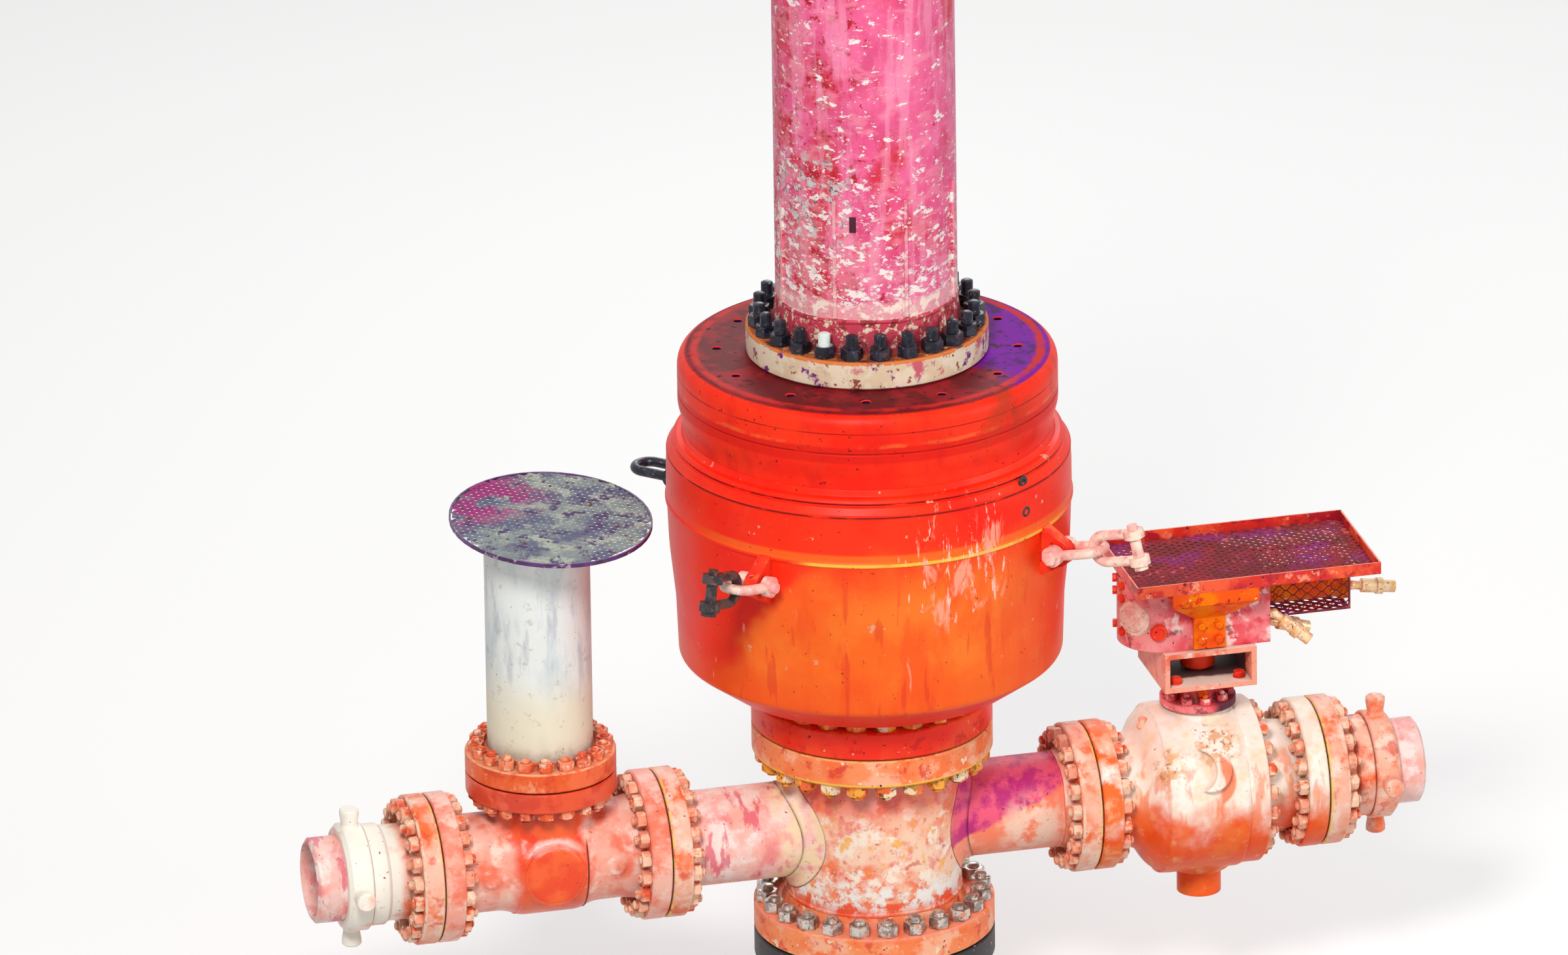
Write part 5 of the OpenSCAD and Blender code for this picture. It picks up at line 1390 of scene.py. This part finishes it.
def girth_welds():
    """Beads where the spool, riser, outlets and branch cylinder meet their flanges."""
    spool = Batch()
    spool.add(weld_bead(BARREL_R + 0.0005, 0.008, 3), up_from(high("spool_base_flange").z))
    spool.add(weld_bead(BARREL_R + 0.0005, 0.007, 4), up_from(low("spool_top_flange").z))
    spool.build("spool_welds", "spool", "faded_orange")
    riser = Batch().add(weld_bead(RISER_R + 0.0007, 0.008, 5), up_from(high("riser_base_flange").z))
    riser.build("riser_weld", "riser_flange", "rose_paint")
    outlets = Batch()
    for x in (high("left_outlet_flange").x, low("right_outlet_flange").x):
        outlets.add(weld_bead(OUTLET_R + 0.0005, 0.006, int(abs(x) * 100)), along_x(x, 1))
    outlets.build("outlet_welds", "outlet", "faded_orange")
    cylinder = Batch().add(weld_bead(CYLINDER_R + 0.0007, 0.009, 8), up_from(CYLINDER_Z + 0.004, 1, TEE_X))
    cylinder.build("cylinder_weld", "branch", "orange_paint")


# Expanded metal

def mesh_sheet(name, node, paint, slot, oval=False):
    """Expanded metal in place of a closed sheet of the frame."""
    size = high(node) - low(node)
    sheet = Batch()
    for shape in expanded_sheet(size.x, size.y, oval):
        sheet.add(shape, Matrix.Translation(middle(node)))
    sheet.build(name, paint, slot, [node])


def guard_sheets():
    """Front, back and bottom of the guard round the hydraulic cylinder, each in a flat frame.

    The bottom's strands are wider than those of the sides.
    """
    guard_low, guard_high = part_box("cylinder_guard")
    size = guard_high - guard_low
    centre = middle("cylinder_guard")
    frame_w = 0.008
    frame_t = 0.005
    fine_w = 0.0034
    wide_w = 0.009
    front = along_y(centre.x, guard_low.y + frame_t / 2, centre.z, -1)
    back = along_y(centre.x, guard_high.y - frame_t / 2, centre.z, -1)
    bottom = placed(centre.x, centre.y, guard_low.z + frame_t / 2)
    sides = ((size.x, size.z, fine_w, front), (size.x, size.z, fine_w, back),
             (size.x, size.y, wide_w, bottom))
    sheet = Batch()
    for width, depth, strand_w, place in sides:
        for shape in expanded_sheet(width, depth, False, 0.05, 0.036, strand_w, 0.0025):
            sheet.add(shape, place)
        for side in (-1, 1):
            shift = Matrix.Translation((0, side * (depth - frame_w) / 2, 0))
            sheet.add(bar((width, frame_w, frame_t)), place @ shift)
        for side in (-1, 1):
            shift = Matrix.Translation((side * (width - frame_w) / 2, 0, 0))
            sheet.add(bar((frame_w, depth, frame_t)), place @ shift)
    sheet.build("guard_strands", "red_mesh", "orange_paint", ["cylinder_guard"])


# Small fittings

def preventer_ports():
    """Two plugged ports at the preventer's front right."""
    plug = knob([(0.021, 0, 0), (0.021, 0.004, 0.0015), (0.014, 0.005, 0.001), (0.009, 0.005, 0.001),
                 (0.009, 0.001, 0.001)], 32, arc=2)
    ports = Batch()
    for z, radius in ((CAP_Z - 0.053, 0.664), (BELT_Z + 0.095, 0.675)):
        ports.add(plug, outward(-54, radius, z))
    ports.build("preventer_ports", "black", "black_paint")


def bracket_bolts():
    """Bolts on the bracket's foot plate and under its top plate."""
    bolt_x = (high("actuator_bracket").x - low("actuator_bracket").x) / 2 - 0.05
    foot_bolt = hex_bolt(0.034, 0.018, 0.004)
    top_bolt = hex_bolt(0.03, 0.016, 0.003)
    plate = 0.018
    bolts = Batch()
    for x in (VALVE_X - bolt_x, VALVE_X + bolt_x):
        for side in (-1, 1):
            bolts.add(foot_bolt, placed(x, side * 0.13, BRACKET_Z + plate))
            bolts.add(top_bolt, placed(x, side * 0.12, ACTUATOR_Z - plate, math.pi, "X"))
    bolts.build("bracket_bolts", "red", "well_red")


def bonnet_nuts():
    """Nuts on the foot flange of the stem's housing."""
    base = up_from(low("stem_housing").z + 0.024, 1, VALVE_X)
    nuts = Batch()
    for place in circle(10, 0.104):
        nuts.add(hex_nut(0.036, 0.024, 0.011), base @ place)
        nuts.add(stud_end(0.022, 0.012), base @ place @ Matrix.Translation((0, 0, 0.021)))
    nuts.build("bonnet_nuts", "housing", "rose_paint")


def hanger_bolts():
    """Four bolts through each of the platform's hangers."""
    bolt = hex_bolt(0.024, 0.012, 0.003)
    bolts = Batch()
    for side in (-1, 1):
        for x in (-0.03, 0.03):
            for z in (0.04, 0.09):
                bolts.add(bolt, along_y(VALVE_X + x, side * 0.162, ACTUATOR_Z + z, side))
    bolts.build("hanger_bolts", "hanger", "orange_paint")


def housing_details():
    """Cover, boss and bolts on the actuator's housing."""
    radius = high("actuator_housing").y
    centre_x = low("actuator_housing").x + radius
    face = outward(216, radius - 0.012, ACTUATOR_Z + 0.11, centre_x)
    cover = [(0.062, 0, 0.002), (0.062, 0.012, 0.004), (0.046, 0.013, 0.003), (0.044, 0.024, 0.006)]
    lid = Batch().add(knob(cover, 48, 0.003), face)
    for place in circle(6, 0.053, 0.012, 0):
        lid.add(hex_bolt(0.013, 0.007, 0.001), face @ place)
    lid.build("housing_cover", "pink_shackle", "rose_paint")
    boss = [(0.03, 0, 0), (0.027, 0.012, 0.004), (0.017, 0.013, 0.002), (0.017, 0.009, 0.001)]
    bolts = Batch().add(knob(boss), along_y(VALVE_X - 0.175, -radius + 0.001, ACTUATOR_Z + 0.075, -1))
    end_bolt = hex_bolt(0.026, 0.014, 0.003)
    for z in (0.05, 0.17, 0.215):
        for degrees in (165, 195):
            bolts.add(end_bolt, outward(degrees, radius - 0.003, ACTUATOR_Z + z, centre_x))
    lid_bolt = hex_bolt(0.02, 0.01, 0.002)
    for x in (-0.13, -0.09, 0.09, 0.13, 0.18):
        for side in (-1, 1):
            bolts.add(lid_bolt, along_y(VALVE_X + x, side * radius, ACTUATOR_Z + 0.205, side))
    bolts.build("housing_bolts", "red", "well_red")


def valve_details():
    """Bleed plug on the valve's shoulder and grease fitting on the stem's housing."""
    plug = [(0.02, 0, 0), (0.02, 0.012, 0.003), (0.014, 0.016, 0.002), (0.014, 0.034, 0.003)]
    place = placed(RIGHT_FACE_X + 0.195, -0.03, LINE_Z + 0.238)
    Batch().add(knob(plug, 24, 0.002), place).build("bleed_plug", "line_nuts", "faded_orange")
    fitting = [(0.012, 0, 0), (0.012, 0.02, 0.002), (0.008, 0.024, 0.002), (0.009, 0.04, 0.003)]
    place = along_y(VALVE_X - 0.005, -0.079, BRACKET_Z - 0.05, -1)
    grease = Batch().add(knob(fitting, 20, 0.004), place).add(hex_bolt(0.03, 0.012), place)
    grease.build("grease_fitting", "hanger", "orange_paint")


# All pieces

well_bolts()
line_bolts()
preventer_body()
preventer_cap()
tee_casting()
valve_casting()
outlet_fillet("left_outlet_fillet", -1)
outlet_fillet("right_outlet_fillet", 1)
girth_welds()
mesh_sheet("step_strands", "step_mesh", "grey_mesh", "grey_mesh", True)
mesh_sheet("platform_strands", "platform_mesh", "red_mesh", "red_mesh")
guard_sheets()
preventer_ports()
bracket_bolts()
bonnet_nuts()
hanger_bolts()
housing_details()
valve_details()


# Camera, floor and light

IMAGE_W = 2400
FOCAL_PIXELS = 33382.1
SENSOR = 36.0
AZIMUTH = math.radians(-14.0792)
ELEVATION = math.radians(21.6652)
ROLL = math.radians(-0.8234)
CAMERA_PLACE = Vector((-16.7882, -65.7717, 29.0292))
STAGE_MIDDLE = Vector((0, 0, 1.8))


def add_camera():
    """Camera at the photograph's angle, fitted to the flanges' standard sizes."""
    back = Vector((math.sin(AZIMUTH) * math.cos(ELEVATION), -math.cos(AZIMUTH) * math.cos(ELEVATION),
                   math.sin(ELEVATION)))
    level = Vector((math.cos(AZIMUTH), math.sin(AZIMUTH), 0))
    upright = back.cross(level)
    right = level * math.cos(ROLL) + upright * math.sin(ROLL)
    up = upright * math.cos(ROLL) - level * math.sin(ROLL)
    data = bpy.data.cameras.new("photo_camera")
    data.sensor_fit = "HORIZONTAL"
    data.sensor_width = SENSOR
    data.lens = FOCAL_PIXELS * SENSOR / IMAGE_W
    data.clip_end = 500
    camera = bpy.data.objects.new("photo_camera", data)
    bpy.context.scene.collection.objects.link(camera)
    camera.matrix_world = Matrix.Translation(CAMERA_PLACE) @ Matrix((right, up, back)).transposed().to_4x4()
    bpy.context.scene.camera = camera


def seen_directly(tree):
    """Socket that is 1 for rays from the camera, mirrors and glass."""
    rays = tree.node("ShaderNodeLightPath").outputs
    seen = tree.calc("MAXIMUM", rays["Is Camera Ray"], rays["Is Glossy Ray"])
    return tree.calc("MAXIMUM", seen, rays["Is Transmission Ray"])


def add_floor():
    """Pale floor that glows a little where it is seen."""
    half = 40
    mesh = bpy.data.meshes.new("floor")
    corners = [(-half, -half, 0), (half, -half, 0), (half, half, 0), (-half, half, 0)]
    mesh.from_pydata(corners, [], [(0, 1, 2, 3)])
    floor = bpy.data.objects.new("floor", mesh)
    bpy.context.scene.collection.objects.link(floor)
    floor.location.z = cad_box[0].z - 0.0005
    material = bpy.data.materials.new("floor")
    tree = Nodes(material)
    diffuse = tree.node("ShaderNodeBsdfDiffuse")
    diffuse.inputs["Color"].default_value = (0.62, 0.62, 0.62, 1)
    glow = tree.node("ShaderNodeEmission")
    glow.inputs["Color"].default_value = (1, 1, 1, 1)
    tree.feed(tree.calc("MULTIPLY", seen_directly(tree), 0.5), glow.inputs["Strength"])
    total = tree.node("ShaderNodeAddShader")
    tree.feed(diffuse.outputs[0], total.inputs[0])
    tree.feed(glow.outputs[0], total.inputs[1])
    tree.feed(total.outputs[0], tree.node("ShaderNodeOutputMaterial").inputs["Surface"])
    mesh.materials.append(material)


def add_world():
    """White surroundings, dimmer as a light than as they are seen."""
    world = bpy.data.worlds.new("studio")
    bpy.context.scene.world = world
    tree = Nodes(world)
    background = tree.node("ShaderNodeBackground")
    background.inputs["Color"].default_value = (1, 1, 1, 1)
    strength = tree.node("ShaderNodeMapRange")
    strength.inputs["To Min"].default_value = 0.3
    strength.inputs["To Max"].default_value = 1.0
    tree.feed(seen_directly(tree), strength.inputs["Value"])
    tree.feed(strength.outputs[0], background.inputs["Strength"])
    tree.feed(background.outputs[0], tree.node("ShaderNodeOutputWorld").inputs["Surface"])


def add_lamp(name, place, size, power, colour=(1, 1, 1)):
    """Round soft lamp that looks at the stack's middle."""
    data = bpy.data.lights.new(name, "AREA")
    data.shape = "DISK"
    data.size = size
    data.energy = power
    data.color = colour
    lamp = bpy.data.objects.new(name, data)
    bpy.context.scene.collection.objects.link(lamp)
    lamp.location = place
    lamp.rotation_euler = (STAGE_MIDDLE - Vector(place)).to_track_quat("-Z", "Y").to_euler()
    lamp.visible_camera = False


add_camera()
add_floor()
add_world()
add_lamp("key_lamp", (-4.0, -9.0, 9.5), 3.0, 1050, (1, 0.97, 0.93))
add_lamp("fill_lamp", (9.0, -6.0, 4.5), 5.0, 330)
add_lamp("back_lamp", (3.0, 9.0, 8.0), 5.0, 300)

bpy.context.scene.view_settings.view_transform = "Standard"
